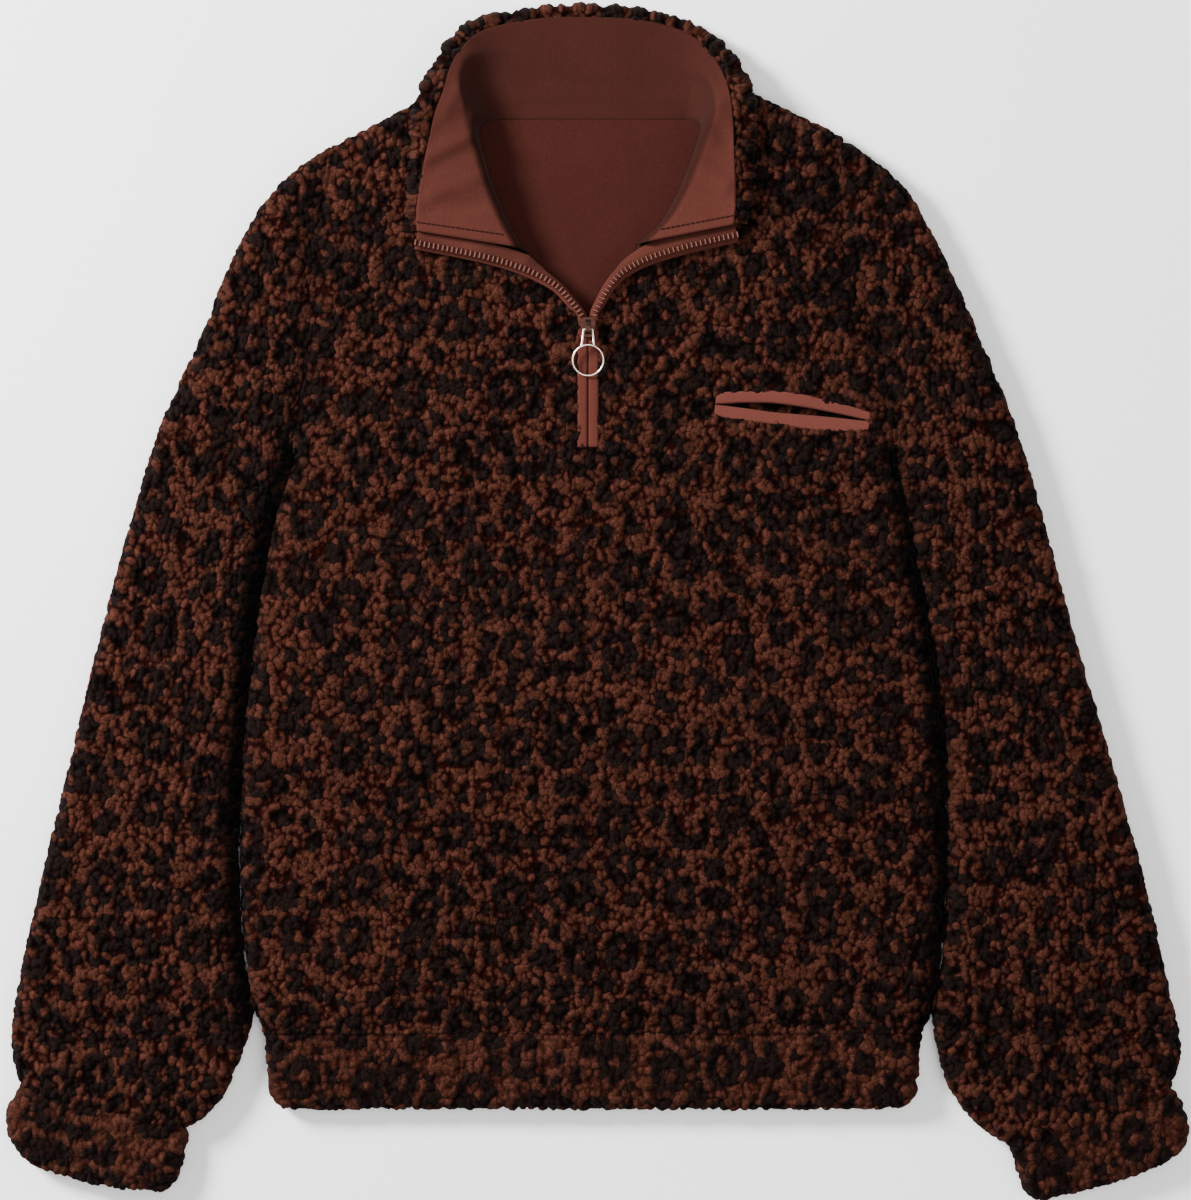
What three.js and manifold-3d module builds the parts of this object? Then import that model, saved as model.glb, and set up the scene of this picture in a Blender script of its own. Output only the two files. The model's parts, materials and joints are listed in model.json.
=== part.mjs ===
// Half-zip pullover of high-pile sherpa fleece, laid flat on its back with the zip half open.
// Millimetres. +X is right as the front is seen, +Y runs up to the collar, +Z up off the surface.
// The origin lies on the surface, under the middle of the garment.
// Left and right are the wearer's, so the left sleeve is at +X.

import * as THREE from 'three';
import { mergeVertices } from 'three/addons/utils/BufferGeometryUtils.js';
import Module from 'manifold-3d';

const wasm = await Module();
wasm.setup();

// Cloth thicknesses and the heights that they give
const FLEECE = 10; // body and sleeves: 1 mm of knit and 9 mm of pile
const BAND_FLEECE = 8.8; // hem band and cuffs, pressed flatter
const COLLAR_FLEECE = 8;
const JERSEY = 1.2;
const LAYERS_APART = 3.4; // between front and back, inside
const BODY_TOP = 2 * FLEECE + LAYERS_APART;
const SEAM_LEVEL = BODY_TOP / 2; // side seams lie at mid height
const FOLD_RADIUS = BODY_TOP / 2; // of the rounded sides
const FRONT_UNDERSIDE = BODY_TOP - FLEECE;
const DEEPEST_INSIDE = 2.4; // how far a trough may press the upper layer's inner side down

// Clearances
const SEAM_GAP = 0.3;
const ARMHOLE_GAP = 0.34; // the armhole slants, so the gap across it is about 0.3
const SIDE_CLEARANCE = 0.3; // from the line where body and sleeve touch, on each side of it

// Sampling
const ROUND_STEPS = [0, 22.5, 45, 67.5, 90]; // degrees round a side
const SLEEVE_SPANS = 6; // across a sleeve, between its rounded sides
const BODY_SPANS = 10;

// Lines of the laid garment, seen from above. Columns: x, y
const SHOULDER_RIGHT = [[-173, 294.5], [-154, 305], [-132, 316.5], [-115, 325], [-85, 335]];
const SHOULDER_LEFT = [[85, 335], [111, 326], [131, 316], [146, 308.5], [160, 300]];
const RIGHT = {
  out: -1,
  armhole: [[-198, 92], [-193, 123], [-187, 158], [-186, 200], [-184, 242], [-173, 294.5]],
  sleeveOuter: [
    [-173, 294.5], [-203, 273], [-230, 234], [-255, 175], [-282, 117], [-301, 58],
    [-322, -19], [-341, -97], [-360, -175], [-377, -253], [-381, -292], [-375, -313],
  ],
  contact: [[-198, 92], [-205, 70], [-212, 43], [-223, -27], [-230, -96], [-232, -183]],
  bodyFoot: [[-226.5, -247], [-221.5, -268], [-216.5, -282]],
  sleeveFoot: [[-228, -247], [-224.5, -268], [-228, -289], [-242, -322], [-255, -336], [-266, -342]],
};
const LEFT = {
  out: 1,
  armhole: [[196, 92], [193, 114], [185, 150], [173, 192], [163, 228], [158, 265], [160, 300]],
  sleeveOuter: [
    [160, 300], [196, 273], [220, 234], [247, 175], [271, 117], [289, 58],
    [310, -19], [333, -97], [355, -175], [373, -253], [380, -292], [374, -315],
  ],
  contact: [[196, 92], [201, 73], [206, 43], [219, -27], [226.5, -88], [228, -166]],
  bodyFoot: [[222.5, -247], [217, -270], [212, -282]],
  sleeveFoot: [[224, -247], [219.5, -272], [222, -297], [231, -322], [247, -341], [266, -354]],
};

// Where each ring of a sleeve stands on its two edges, from armhole to cuff, as shares of their lengths
const SLEEVE_RINGS = [
  { outer: 0, inner: 0, bow: 1 },
  { outer: 0.06, inner: 0.012, bow: 0.8 },
  { outer: 0.14, inner: 0.04, bow: 0.55 },
  { outer: 0.22, inner: 0.08, bow: 0.35 },
  { outer: 0.3, inner: 0.14, bow: 0.2 },
  { outer: 0.38, inner: 0.22, bow: 0.08 },
  { outer: 0.47, inner: 0.32, bow: 0 },
  { outer: 0.56, inner: 0.43, bow: 0 },
  { outer: 0.65, inner: 0.54, bow: 0 },
  { outer: 0.74, inner: 0.64, bow: 0 },
  { outer: 0.81, inner: 0.73, bow: 0 },
  { outer: 0.87, inner: 0.82, bow: 0 },
  { outer: 0.92, inner: 0.89, bow: 0 },
  { outer: 0.96, inner: 0.95, bow: 0 },
  { outer: 0.985, inner: 0.98, bow: 0 },
  { outer: 1, inner: 1, bow: 0 },
];

// Rows of the body below the underarm, from the hem seam up
const BODY_ROWS = [-282, -272, -260, -238, -205, -160, -110, -55, 0, 48, 75];

// Soft folds of the upper layer: a line from 1 to 2, its half width, and how far it rises (or sinks)
const FOLDS = [
  { x1: -185, y1: 62, x2: 15, y2: 58, width: 24, rise: -1.6 },
  { x1: -205, y1: -60, x2: 210, y2: -50, width: 40, rise: 1.2 },
  { x1: -205, y1: -150, x2: 210, y2: -160, width: 26, rise: -1.6 },
  { x1: -243, y1: 150, x2: -207, y2: 116, width: 13, rise: 2.2 },
  { x1: -240, y1: 122, x2: -216, y2: 82, width: 13, rise: -2.2 },
  { x1: -176, y1: 210, x2: -176, y2: 140, width: 8, rise: 1.4 },
  { x1: 166, y1: 212, x2: 184, y2: 148, width: 9, rise: -2 },
  { x1: 214, y1: 150, x2: 236, y2: 60, width: 16, rise: 1.8 },
  { x1: -150, y1: -275, x2: -156, y2: -232, width: 13, rise: 1.5 },
  { x1: -88, y1: -275, x2: -84, y2: -240, width: 13, rise: -1.5 },
  { x1: -22, y1: -275, x2: -30, y2: -228, width: 14, rise: 1.6 },
  { x1: 40, y1: -275, x2: 46, y2: -236, width: 13, rise: -1.5 },
  { x1: 104, y1: -275, x2: 98, y2: -230, width: 14, rise: 1.5 },
  { x1: 164, y1: -275, x2: 170, y2: -242, width: 12, rise: -1.4 },
  { x1: -294, y1: -328, x2: -284, y2: -286, width: 9, rise: 2 },
  { x1: -322, y1: -321, x2: -312, y2: -272, width: 10, rise: -2 },
  { x1: -350, y1: -313, x2: -346, y2: -268, width: 9, rise: 2 },
  { x1: 292, y1: -338, x2: 280, y2: -296, width: 9, rise: 2 },
  { x1: 320, y1: -330, x2: 308, y2: -284, width: 10, rise: -2 },
  { x1: 347, y1: -322, x2: 341, y2: -276, width: 9, rise: 2 },
];
const ARMHOLE_GROOVE = { width: 7, depth: 2.4 };
const HEM_GROOVE = { width: 9, depth: 3 };

// Hem band, from its seam to its lower edge. Round is the share of the wall that is rounded off
const HEM_SEAM = -282;
const HEM_ROWS = [
  { y: -282.15, right: -216, left: 211.5, top: 19.4, round: 0 },
  { y: -290, right: -215.5, left: 210.5, top: 21, round: 0 },
  { y: -306, right: -214.5, left: 210, top: 21.2, round: 0 },
  { y: -319, right: -213.5, left: 209, top: 20.8, round: 0.1 },
  { y: -325, right: -211, left: 205, top: 19.4, round: 0.45 },
  { y: -327.5, right: -207, left: 200, top: 17.6, round: 0.75 },
];

// Cuffs, from the seam to the open edge: the sleeve's inner side and its outer side
const CUFF_SEAM = { inset: 1.5, top: 20 };
const CUFF_ROWS = {
  right: [
    { ix: -265, iy: -350, ox: -384, oy: -331, top: 21.4, bow: 0, round: 0 },
    { ix: -268, iy: -363, ox: -384, oy: -344, top: 21.6, bow: 1, round: 0 },
    { ix: -271, iy: -374, ox: -378, oy: -356, top: 21, bow: 3, round: 0.15 },
    { ix: -276, iy: -380.5, ox: -369, oy: -362.5, top: 18, bow: 5, round: 0.7 },
  ],
  left: [
    { ix: 270, iy: -361, ox: 382, oy: -327, top: 21.4, bow: 0, round: 0 },
    { ix: 273, iy: -372, ox: 385.5, oy: -341, top: 21.6, bow: 0.5, round: 0 },
    { ix: 277, iy: -383, ox: 383, oy: -354, top: 21, bow: 1, round: 0.15 },
    { ix: 283, iy: -388, ox: 373, oy: -361.5, top: 18, bow: 2.5, round: 0.7 },
  ],
};

// Collar, from the wearer's right front round the back to the left front.
// turn: 1 where it is turned outward over the front, 0 where it lies on the surface behind the neck
// b: where it is sewn on, c: its crest, e: its outer edge, rim: fleece that shows beyond the facing
const COLLAR_ROWS = [
  { turn: 1, bx: -49.5, by: 227.3, cx: -54, cy: 228.2, cz: 32.8, ex: -121, ey: 239, ez: 32.2, rim: 5 },
  { turn: 1, bx: -59.5, by: 245.5, cx: -64, cy: 246.5, cz: 34, ex: -122, ey: 254, ez: 32.2, rim: 6 },
  { turn: 1, bx: -68.5, by: 267.5, cx: -73, cy: 269, cz: 35, ex: -121.5, ey: 277, ez: 32.2, rim: 9 },
  { turn: 1, bx: -75, by: 288.5, cx: -79.5, cy: 290.5, cz: 35.5, ex: -120.5, ey: 301, ez: 32.2, rim: 13 },
  { turn: 1, bx: -78, by: 303.5, cx: -84, cy: 307.5, cz: 35.5, ex: -119, ey: 320, ez: 31.2, rim: 16 },
  { turn: 0.8, bx: -75, by: 311, cx: -87, cy: 324, cz: 34, ex: -112, ey: 336, ez: 30.4, rim: 15 },
  { turn: 0.4, bx: -70, by: 313.5, cx: -89, cy: 339, cz: 29.5, ex: -104, ey: 351, ez: 26, rim: 12 },
  { turn: 0.08, bx: -64, by: 313, cx: -82, cy: 353, cz: 21, ex: -93, ey: 367.5, ez: 19, rim: 11 },
  { turn: 0, bx: -54, by: 312.5, cx: -64, cy: 355, cz: 10.5, ex: -76, ey: 379, ez: 12, rim: 9 },
  { turn: 0, bx: -28, by: 312, cx: -34, cy: 356, cz: 8, ex: -40, ey: 386, ez: 8.5, rim: 8 },
  { turn: 0, bx: 0, by: 312, cx: 0, cy: 356, cz: 8, ex: -4, ey: 388.6, ez: 8.3, rim: 9.5 },
  { turn: 0, bx: 28, by: 312, cx: 32, cy: 353, cz: 8, ex: 30, ey: 385, ez: 8.5, rim: 8 },
  { turn: 0, bx: 52, by: 312.5, cx: 58, cy: 348, cz: 11, ex: 59, ey: 376.5, ez: 12, rim: 8 },
  { turn: 0.08, bx: 62, by: 313, cx: 69, cy: 342, cz: 19, ex: 79, ey: 364, ez: 18, rim: 11 },
  { turn: 0.4, bx: 67, by: 312.5, cx: 75, cy: 331, cz: 27, ex: 93, ey: 348, ez: 26.5, rim: 14 },
  { turn: 0.8, bx: 69, by: 308, cx: 77, cy: 317, cz: 34, ex: 101, ey: 332, ez: 31.4, rim: 17 },
  { turn: 1, bx: 67, by: 298, cx: 72.5, cy: 301, cz: 35.2, ex: 103, ey: 313, ez: 31.6, rim: 16 },
  { turn: 1, bx: 61.5, by: 281, cx: 66, cy: 282, cz: 35.2, ex: 102.5, ey: 290, ez: 32.2, rim: 14 },
  { turn: 1, bx: 53.5, by: 262, cx: 58, cy: 263, cz: 34.6, ex: 101.5, ey: 270, ez: 32.2, rim: 12 },
  { turn: 1, bx: 43.5, by: 245, cx: 48, cy: 246, cz: 34, ex: 99.5, ey: 255.5, ez: 32.2, rim: 10 },
  { turn: 1, bx: 29, by: 230.5, cx: 33.5, cy: 231.4, cz: 32.8, ex: 96.5, ey: 244, ez: 32.2, rim: 8 },
];
const COLLAR_STATIONS = 26;
const COLLAR_ROOT = { rise: 27, under: 0.6 }; // height of the sewn side, and clearance over the front
const FACING_LIP = 1.9; // from the sewn line of the collar to the back's cut edge
const FACING_OFF = 0.5; // between the collar's fleece and its facing
const FACING_TILT = [0, 35, 60, 90, 90, 90, 90]; // degrees from level in which the facing lies off the collar

// Front neck: where the cut edge runs past the collar's shoulder corners, and the V down to the zip slot
const NECK_CORNER_RIGHT = [[-91.5, 316], [-99, 345]];
const NECK_CORNER_LEFT = [[90, 345], [82.5, 313]];
const V_RIGHT = [[-48, 226.4], [-33, 210], [-24, 199.5], [-17.2, 188.6]];
const V_LEFT = [[4, 189], [9.5, 200], [16.5, 212], [27.5, 229.6]];
const ZIP_X = -5.5;
const SLOT = { halfWidth: 7.3, foot: 98.7, head: 182.6 };
const NECK_CORNER_BACK_RIGHT = [[-75, 308.6], [-82, 319], [-85, 345]];
const NECK_CORNER_BACK_LEFT = [[79, 345], [76, 319], [70.5, 306.5]];

// Back lining, half-moon seen through the neck. Columns: x, y
const LINING_OUTLINE = [
  [-69.5, 309], [-74.5, 306], [-92, 298], [-88, 272], [-72, 238], [-47, 204], [-22, 176],
  [-6, 168], [12, 176], [36, 204], [60, 238], [76, 268], [82, 292], [71, 303.5], [66, 308.5],
];
const LINING_HEAD = 309.8;

// Zip: lips (welts) over the closed part, then beside the teeth up to the collar's top edge.
// inner and outer are the lip's widths on the two sides of the line x, y
const WELT_FOOT = 14;
const WELT_TOP = 24.6;
const WELT_RIGHT = [
  { x: -9.15, y: 99, inner: 3.45, outer: 3.4, low: WELT_FOOT, top: WELT_TOP },
  { x: -9.15, y: 176, inner: 3.45, outer: 3.4, low: WELT_FOOT, top: WELT_TOP },
  { x: -9.3, y: 183, inner: 3.4, outer: 3.2, low: 18, top: 24.8 },
  { x: -11.6, y: 187.2, inner: 3, outer: 2.8, low: 23.8, top: 25.2 },
  { x: -16.4, y: 193, inner: 3.2, outer: 3.6, low: 23.8, top: 25.6 },
  { x: -25, y: 202.5, inner: 3.6, outer: 4, low: 23.8, top: 26.2 },
  { x: -37, y: 209.8, inner: 4.6, outer: 4.2, low: 23.8, top: 26.9 },
  { x: -52, y: 216, inner: 8, outer: 4.2, low: 23.8, top: 28 },
  { x: -68, y: 220.8, inner: 8, outer: 4.2, low: 23.8, top: 28.6 },
  { x: -84, y: 224.5, inner: 7.6, outer: 4.2, low: 23.8, top: 28.8 },
  { x: -101, y: 227.9, inner: 7.2, outer: 4.2, low: 23.8, top: 28.8 },
  { x: -117, y: 231, inner: 6.8, outer: 4.2, low: 23.8, top: 28.8 },
];
const WELT_LEFT = [
  { x: -1.85, y: 99, inner: 3.4, outer: 3.4, low: WELT_FOOT, top: WELT_TOP },
  { x: -1.85, y: 176, inner: 3.4, outer: 3.4, low: WELT_FOOT, top: WELT_TOP },
  { x: -1.7, y: 183, inner: 3.4, outer: 3.2, low: 18, top: 24.8 },
  { x: -0.7, y: 187.2, inner: 3, outer: 2.8, low: 23.8, top: 25.2 },
  { x: 2.4, y: 193, inner: 3.2, outer: 3.6, low: 23.8, top: 25.6 },
  { x: 7, y: 201.5, inner: 3.4, outer: 4, low: 23.8, top: 26.2 },
  { x: 14.5, y: 210.5, inner: 4, outer: 4.4, low: 23.8, top: 26.9 },
  { x: 26, y: 217.8, inner: 5.6, outer: 4.6, low: 23.8, top: 27.8 },
  { x: 40, y: 223.4, inner: 7, outer: 4.8, low: 23.8, top: 28.6 },
  { x: 55, y: 227.8, inner: 6.8, outer: 4.8, low: 23.8, top: 28.8 },
  { x: 72, y: 231.9, inner: 6.6, outer: 4.8, low: 23.8, top: 28.8 },
  { x: 91, y: 236.2, inner: 6.4, outer: 4.8, low: 23.8, top: 28.8 },
];
const WELT_EDGE = { round: 1.25 };
const WELT_FIRST_OPEN = 3; // row of the lips where the zip opens
const TAPE = { thickness: 1.2, teethHalf: 2.4, teethHigh: 2.6, lift: 0.3 };

// Slanted chest pocket: heights above its middle line, from its outer to its inner end
const POCKET = { x: 77, y: 126.8, length: 100.6, tilt: -6.2 };
const POCKET_ROWS = [
  { at: 0, top: 6.6, slitTop: 0.2, slitFoot: -0.2, foot: -6.4 },
  { at: 0.06, top: 8.8, slitTop: 1, slitFoot: -0.2, foot: -8 },
  { at: 0.2, top: 10.8, slitTop: 3.2, slitFoot: -0.5, foot: -8.8 },
  { at: 0.4, top: 13, slitTop: 4.8, slitFoot: -1, foot: -9 },
  { at: 0.55, top: 12.6, slitTop: 4.4, slitFoot: -0.6, foot: -9.6 },
  { at: 0.75, top: 10, slitTop: 2.9, slitFoot: -0.2, foot: -9.6 },
  { at: 0.93, top: 7.2, slitTop: 1, slitFoot: -0.2, foot: -7.4 },
  { at: 1, top: 5.6, slitTop: 0.2, slitFoot: -0.2, foot: -5.6 },
];
const POCKET_LIP = { foot: 14, top: 24.8 };
const POCKET_BAG = { margin: 2, depth: 44, top: 12.4, thickness: 1 };

// Slider, its bridge, and the pull that swings on the bridge
const SLIDER = { foot: 24.9, top: 28.2, y: 176.4, length: 13, nose: 4.75, tail: 3.9 };
const BRIDGE = { width: 3.3, foot: 27.6, top: 32, front: 171.9, rear: 181.2 };
const BRIDGE_EYE = { foot: 29, top: 31.1, front: 172.9, rear: 176.9 };
const PULL = {
  axisY: 174.9, axisZ: 30.05, wire: 0.7, headHalf: 2.9, footHalf: 4.25,
  ringRadius: 10, ringDrop: 20, tilt: 8.2,
};

const FLEECE_COLOUR = '#3f2219';
const JERSEY_COLOUR = '#763d33';
const WELT_COLOUR = '#5d322c';
const TAPE_COLOUR = '#43241f';
const DARK_METAL_COLOUR = '#6e4a40';
const PALE_METAL_COLOUR = '#d9b8aa';

const plan = (x, y) => new THREE.Vector3(x, y, 0);
const lerp = THREE.MathUtils.lerp;
const degrees = THREE.MathUtils.degToRad;

// A smooth line through [x, y] rows, as evenly spaced points
function smoothLine(rows, pieces = 48) {
  const points = rows.map(([x, y]) => plan(x, y));
  return new THREE.CatmullRomCurve3(points, false, 'centripetal').getSpacedPoints(pieces);
}

// The point at a share of a line's length; the line's points are evenly spaced
function alongLine(line, share) {
  const place = share * (line.length - 1);
  const i = Math.min(Math.floor(place), line.length - 2);
  return line[i].clone().lerp(line[i + 1], place - i);
}

// Where a line that only rises or only falls meets a value of x or y
function crossing(line, axis, value) {
  for (let i = 0; i + 1 < line.length; i += 1) {
    const from = line[i][axis];
    const to = line[i + 1][axis];
    if ((value - from) * (value - to) <= 0 && from !== to) {
      return line[i].clone().lerp(line[i + 1], (value - from) / (to - from));
    }
  }
  const nearFirst = Math.abs(value - line[0][axis]) < Math.abs(value - line.at(-1)[axis]);
  return (nearFirst ? line[0] : line.at(-1)).clone();
}

function lineLength(line) {
  return line.slice(1).reduce((sum, point, i) => sum + point.distanceTo(line[i]), 0);
}

for (const side of [RIGHT, LEFT]) {
  side.armholeLine = smoothLine(side.armhole, 60);
  side.outerLine = smoothLine(side.sleeveOuter);
  side.innerLine = smoothLine([...side.contact, ...side.sleeveFoot]);
  side.bodyLine = smoothLine([...side.contact, ...side.bodyFoot]);
}
const shoulderLine = smoothLine([...SHOULDER_RIGHT, ...SHOULDER_LEFT]);
const shoulderFold = shoulderLine.map((point) => plan(point.x, point.y + SIDE_CLEARANCE));
const FOLD_LINES = [
  shoulderFold,
  ...[RIGHT, LEFT].flatMap((side) => [side.outerLine, side.innerLine, side.bodyLine]),
];

function nearestOn(line, point) {
  let best = { distance: Infinity, foot: null };
  for (let i = 0; i + 1 < line.length; i += 1) {
    const along = line[i + 1].clone().sub(line[i]);
    const share = THREE.MathUtils.clamp(point.clone().sub(line[i]).dot(along) / along.lengthSq(), 0, 1);
    const foot = line[i].clone().addScaledVector(along, share);
    const distance = foot.distanceTo(point);
    if (distance < best.distance) best = { distance, foot };
  }
  return best;
}

function nearestFold(point) {
  return FOLD_LINES.map((line) => nearestOn(line, point)).reduce((a, b) => (a.distance < b.distance ? a : b));
}

// How far the upper layer stands above or below its even height at a point
function relief(point) {
  let sum = 0;
  for (const fold of FOLDS) {
    const line = [plan(fold.x1, fold.y1), plan(fold.x2, fold.y2)];
    sum += fold.rise * Math.exp(-((nearestOn(line, point).distance / fold.width) ** 2));
  }
  for (const side of [RIGHT, LEFT]) {
    const distance = nearestOn(side.armholeLine, point).distance;
    sum -= ARMHOLE_GROOVE.depth * Math.exp(-((distance / ARMHOLE_GROOVE.width) ** 2));
  }
  sum -= HEM_GROOVE.depth * Math.exp(-(((point.y - HEM_SEAM) / HEM_GROOVE.width) ** 2));
  return sum;
}

// Distances across a section: close together round both sides, even between them
function acrossSamples(width, radius, spans) {
  const round = ROUND_STEPS.map((angle) => radius * (1 - Math.cos(degrees(angle))));
  const middle = [];
  for (let i = 1; i < spans; i += 1) middle.push(lerp(radius, width - radius, i / spans));
  return [...round, ...middle, ...round.map((step) => width - step).reverse()];
}

// Outside and inside of the wall at a point. above is 1 on the upper layer, -1 on the lower one
function wallAt(point, inward, above, cosine, shape) {
  const sine = Math.sqrt(Math.max(0, 1 - cosine * cosine));
  const lift = above > 0 ? shape.top + shape.relief(point) * sine - shape.level : shape.level;
  const outer = point.clone().setZ(shape.level + above * (shape.gap / 2 * (1 - sine) + lift * sine));
  const inner = outer.clone().addScaledVector(inward, shape.wall * cosine);
  inner.z -= above * shape.wall * sine;
  if (above > 0) inner.z += Math.max(0, -DEEPEST_INSIDE - shape.relief(point)) * sine;
  const away = inner.clone().sub(outer).multiplyScalar((shape.round ?? 0) / 2);
  return { outer: outer.add(away), inner: inner.sub(away) };
}

function bodyCosine(distance) {
  return 1 - THREE.MathUtils.clamp((distance - SIDE_CLEARANCE) / FOLD_RADIUS, 0, 1);
}

// Triangles from quads of a grid; a closed grid joins its last column to its first
function gridFaces(rows, columns, closed, index) {
  const faces = [];
  for (let i = 0; i + 1 < rows; i += 1) {
    for (let j = 0; j < (closed ? columns : columns - 1); j += 1) {
      const k = (j + 1) % columns;
      faces.push([index(i, j), index(i, k), index(i + 1, k)]);
      faces.push([index(i, j), index(i + 1, k), index(i + 1, j)]);
    }
  }
  return faces;
}

// A closed body from points and triangles, turned so that its faces point out
function body(points, faces) {
  let volume = 0;
  for (const [a, b, c] of faces) volume += points[a].dot(points[b].clone().cross(points[c]));
  const indices = faces.flatMap(([a, b, c]) => (volume < 0 ? [a, c, b] : [a, b, c]));
  const geometry = new THREE.BufferGeometry();
  geometry.setAttribute('position', new THREE.Float32BufferAttribute(points.flatMap((p) => p.toArray()), 3));
  geometry.setIndex(indices);
  return geometry;
}

// A wall between two grids of points, closed along its rim
function shell(outer, inner) {
  const rows = outer.length;
  const columns = outer[0].length;
  const count = rows * columns;
  const out = (i, j) => i * columns + j;
  const within = (i, j) => count + i * columns + j;
  const rim = [];
  for (let j = 0; j < columns; j += 1) rim.push([0, j]);
  for (let i = 1; i < rows; i += 1) rim.push([i, columns - 1]);
  for (let j = columns - 2; j >= 0; j -= 1) rim.push([rows - 1, j]);
  for (let i = rows - 2; i > 0; i -= 1) rim.push([i, 0]);
  const faces = [
    ...gridFaces(rows, columns, false, out),
    ...gridFaces(rows, columns, false, within).map(([a, b, c]) => [a, c, b]),
  ];
  rim.forEach((from, i) => {
    const to = rim[(i + 1) % rim.length];
    faces.push([out(...from), within(...to), out(...to)], [out(...from), within(...from), within(...to)]);
  });
  return body([...outer.flat(), ...inner.flat()], faces);
}

// A tube with a wall, open at both ends, from closed loops of points
function tube(outerLoops, innerLoops) {
  const rows = outerLoops.length;
  const columns = outerLoops[0].length;
  const count = rows * columns;
  const out = (i, j) => i * columns + j;
  const within = (i, j) => count + i * columns + j;
  const faces = [
    ...gridFaces(rows, columns, true, out),
    ...gridFaces(rows, columns, true, within).map(([a, b, c]) => [a, c, b]),
  ];
  for (let j = 0; j < columns; j += 1) {
    const k = (j + 1) % columns;
    faces.push([out(0, j), within(0, k), out(0, k)], [out(0, j), within(0, j), within(0, k)]);
    const end = rows - 1;
    faces.push([out(end, j), out(end, k), within(end, k)], [out(end, j), within(end, k), within(end, j)]);
  }
  return body([...outerLoops.flat(), ...innerLoops.flat()], faces);
}

// A solid through closed sections; flat holds the first section's points in its own plane, for the end faces
function loft(sections, flat) {
  const columns = sections[0].length;
  const faces = gridFaces(sections.length, columns, true, (i, j) => i * columns + j);
  const clockwise = THREE.ShapeUtils.isClockWise(flat);
  const contour = clockwise ? [...flat].reverse() : flat;
  const back = (i) => (clockwise ? columns - 1 - i : i);
  const last = (sections.length - 1) * columns;
  for (const triangle of THREE.ShapeUtils.triangulateShape(contour, [])) {
    const [a, b, c] = triangle.map(back);
    const turned = clockwise ? [a, c, b] : [a, b, c];
    faces.push([turned[0], turned[2], turned[1]], turned.map((i) => last + i));
  }
  return body(sections.flat(), faces);
}

function toSolid(geometry) {
  const bare = new THREE.BufferGeometry();
  bare.setAttribute('position', geometry.getAttribute('position'));
  bare.setIndex(geometry.index);
  const merged = mergeVertices(bare, 1e-4);
  return new wasm.Manifold(new wasm.Mesh({
    numProp: 3,
    vertProperties: new Float32Array(merged.getAttribute('position').array),
    triVerts: new Uint32Array(merged.index.array),
  }));
}

function fromSolid(solid) {
  const { vertProperties, triVerts } = solid.getMesh();
  const geometry = new THREE.BufferGeometry();
  geometry.setAttribute('position', new THREE.BufferAttribute(vertProperties, 3));
  geometry.setIndex(new THREE.BufferAttribute(triVerts, 1));
  return geometry;
}

// An upright block over an outline in plan
function block(outline, foot, height) {
  const shape = new THREE.Shape(outline.map(([x, y]) => new THREE.Vector2(x, y)));
  return new THREE.ExtrudeGeometry(shape, { depth: height, bevelEnabled: false }).translate(0, 0, foot);
}

// Body

// The armhole's points, which the sleeve's first ring shares
function armholePoints(side) {
  const length = lineLength(side.armholeLine);
  const samples = acrossSamples(length, FOLD_RADIUS, SLEEVE_SPANS);
  return samples.map((at) => alongLine(side.armholeLine, at / length));
}

function towardsMiddle(points, i) {
  const step = i < points.length / 2 ? 1 : -1;
  return points[i + step].clone().sub(points[i]).normalize();
}

// Rows of plan points from the hem seam to the shoulders, with the way in from each edge
function bodyGrid() {
  const armholes = { right: armholePoints(RIGHT), left: armholePoints(LEFT) };
  const edge = (side, y) => crossing(side.bodyLine, 'y', y).add(plan(-side.out * SIDE_CLEARANCE, 0));
  const rows = BODY_ROWS.map((y) => {
    const seam = y === HEM_SEAM ? y + SEAM_GAP / 2 : y;
    const [from, to] = [edge(RIGHT, seam), edge(LEFT, seam)];
    return { from: plan(from.x, seam), to: plan(to.x, seam), climb: 0 };
  });
  const count = armholes.right.length;
  const flatRows = count - ROUND_STEPS.length;
  for (let i = 0; i < count; i += 1) {
    rows.push({
      from: armholes.right[i].clone().add(plan(ARMHOLE_GAP / 2, 0)),
      to: armholes.left[i].clone().add(plan(-ARMHOLE_GAP / 2, 0)),
      fromInward: towardsMiddle(armholes.right, i),
      toInward: towardsMiddle(armholes.left, i),
      climb: THREE.MathUtils.smoothstep(i, 0, flatRows),
    });
  }
  const corner = rows.at(-1);
  return rows.map(({ from, to, fromInward, toInward, climb }) => {
    const width = from.distanceTo(to);
    const samples = acrossSamples(width, FOLD_RADIUS, BODY_SPANS);
    return samples.map((at, j) => {
      const share = at / width;
      const point = from.clone().lerp(to, share);
      const slope = crossing(shoulderLine, 'x', point.x).y - lerp(corner.from.y, corner.to.y, share);
      if (share > 0 && share < 1) point.y += slope * climb;
      const fold = nearestFold(point);
      let inward = point.clone().sub(fold.foot).normalize();
      if (j === 0 && fromInward) inward = fromInward;
      if (j === samples.length - 1 && toInward) inward = toInward;
      return { point, inward, cosine: bodyCosine(fold.distance) };
    });
  });
}

const BODY_SHAPE = { level: SEAM_LEVEL, top: BODY_TOP, wall: FLEECE, gap: SEAM_GAP, relief };

function bodyPanel(grid, above) {
  const cells = grid.map((row) => row.map(({ point, inward, cosine }) => (
    wallAt(point, inward, above, cosine, BODY_SHAPE)
  )));
  const side = (key) => cells.map((row) => row.map((cell) => cell[key]));
  return shell(side('outer'), side('inner'));
}

// Sleeves, cuffs and hem band

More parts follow.
